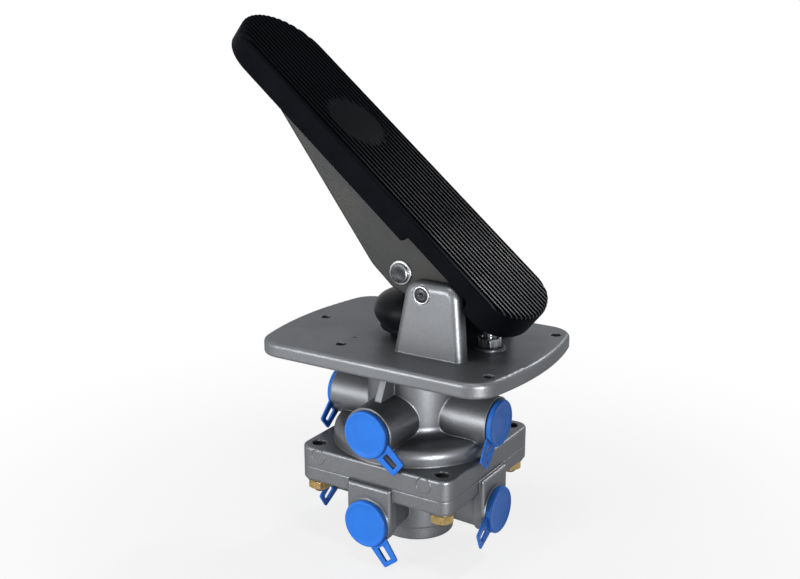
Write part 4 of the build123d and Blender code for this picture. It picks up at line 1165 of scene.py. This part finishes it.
def white_world():
    """A world that looks white and lights the object at a plain level."""
    world = bpy.data.worlds.new("studio")
    world.use_nodes = True
    bpy.context.scene.world = world
    nodes, links = world.node_tree.nodes, world.node_tree.links
    background = nodes["Background"]
    background.inputs["Color"].default_value = (1, 1, 1, 1)
    level = nodes.new("ShaderNodeMapRange")
    links.new(seen_rays(nodes, links), level.inputs["Value"])
    level.inputs["To Min"].default_value = WORLD_DIFFUSE
    level.inputs["To Max"].default_value = 1.0
    links.new(level.outputs[0], background.inputs["Strength"])


def floor():
    """A pale floor that keeps the object's shadow and fades into the white background."""
    low = cad_box[0][2] - FLOOR_GAP
    half = FLOOR_HALF
    mesh = bpy.data.meshes.new("floor")
    corners = [(-half, -half, low), (half, -half, low), (half, half, low), (-half, half, low)]
    mesh.from_pydata(corners, [], [(0, 1, 2, 3)])
    ground = bpy.data.objects.new("floor", mesh)
    bpy.context.scene.collection.objects.link(ground)
    made = bpy.data.materials.new("floor_white")
    made.use_nodes = True
    nodes, links = made.node_tree.nodes, made.node_tree.links
    nodes.clear()
    matt = nodes.new("ShaderNodeBsdfDiffuse")
    matt.inputs["Color"].default_value = FLOOR_COLOUR
    glow = nodes.new("ShaderNodeEmission")
    mix = nodes.new("ShaderNodeMixShader")
    share = nodes.new("ShaderNodeMath")
    share.operation = "MULTIPLY"
    coords = nodes.new("ShaderNodeTexCoord")
    reach = nodes.new("ShaderNodeVectorMath")
    reach.operation = "LENGTH"
    links.new(coords.outputs["Object"], reach.inputs[0])
    fade = nodes.new("ShaderNodeMapRange")
    fade.interpolation_type = "SMOOTHSTEP"
    links.new(reach.outputs["Value"], fade.inputs["Value"])
    fade.inputs["From Min"].default_value, fade.inputs["From Max"].default_value = FLOOR_FADE
    fade.inputs["To Min"].default_value = FLOOR_GLOW_NEAR
    fade.inputs["To Max"].default_value = FLOOR_GLOW_FAR
    links.new(seen_rays(nodes, links), share.inputs[0])
    links.new(fade.outputs[0], share.inputs[1])
    links.new(share.outputs[0], mix.inputs["Fac"])
    links.new(matt.outputs[0], mix.inputs[1])
    links.new(glow.outputs[0], mix.inputs[2])
    out = nodes.new("ShaderNodeOutputMaterial")
    links.new(mix.outputs[0], out.inputs["Surface"])
    mesh.materials.append(made)


def lamps():
    """The four area lamps, turned towards the valve."""
    for name, (place, size, power) in LAMPS.items():
        data = bpy.data.lights.new(name, "AREA")
        data.shape = "RECTANGLE"
        data.size, data.size_y = size
        data.energy = power
        lamp = bpy.data.objects.new(name, data)
        bpy.context.scene.collection.objects.link(lamp)
        lamp.location = place
        lamp.visible_diffuse = name not in GLINT_LAMPS
        lamp.rotation_euler = (LAMP_TARGET - lamp.location).to_track_quat("-Z", "Y").to_euler()


dress_frame()
treadle_pad()
for cap_level, cap_side in TAB_LEAN:
    port_cap(cap_level, cap_side)
body_fixings()
stop_fixings()
pivot_fixings()
roller_fixings()
boot()
soft_innards()
ejector_rings()
column_nicks()
place_camera()
white_world()
floor()
lamps()
bpy.context.scene.view_settings.view_transform = "Standard"
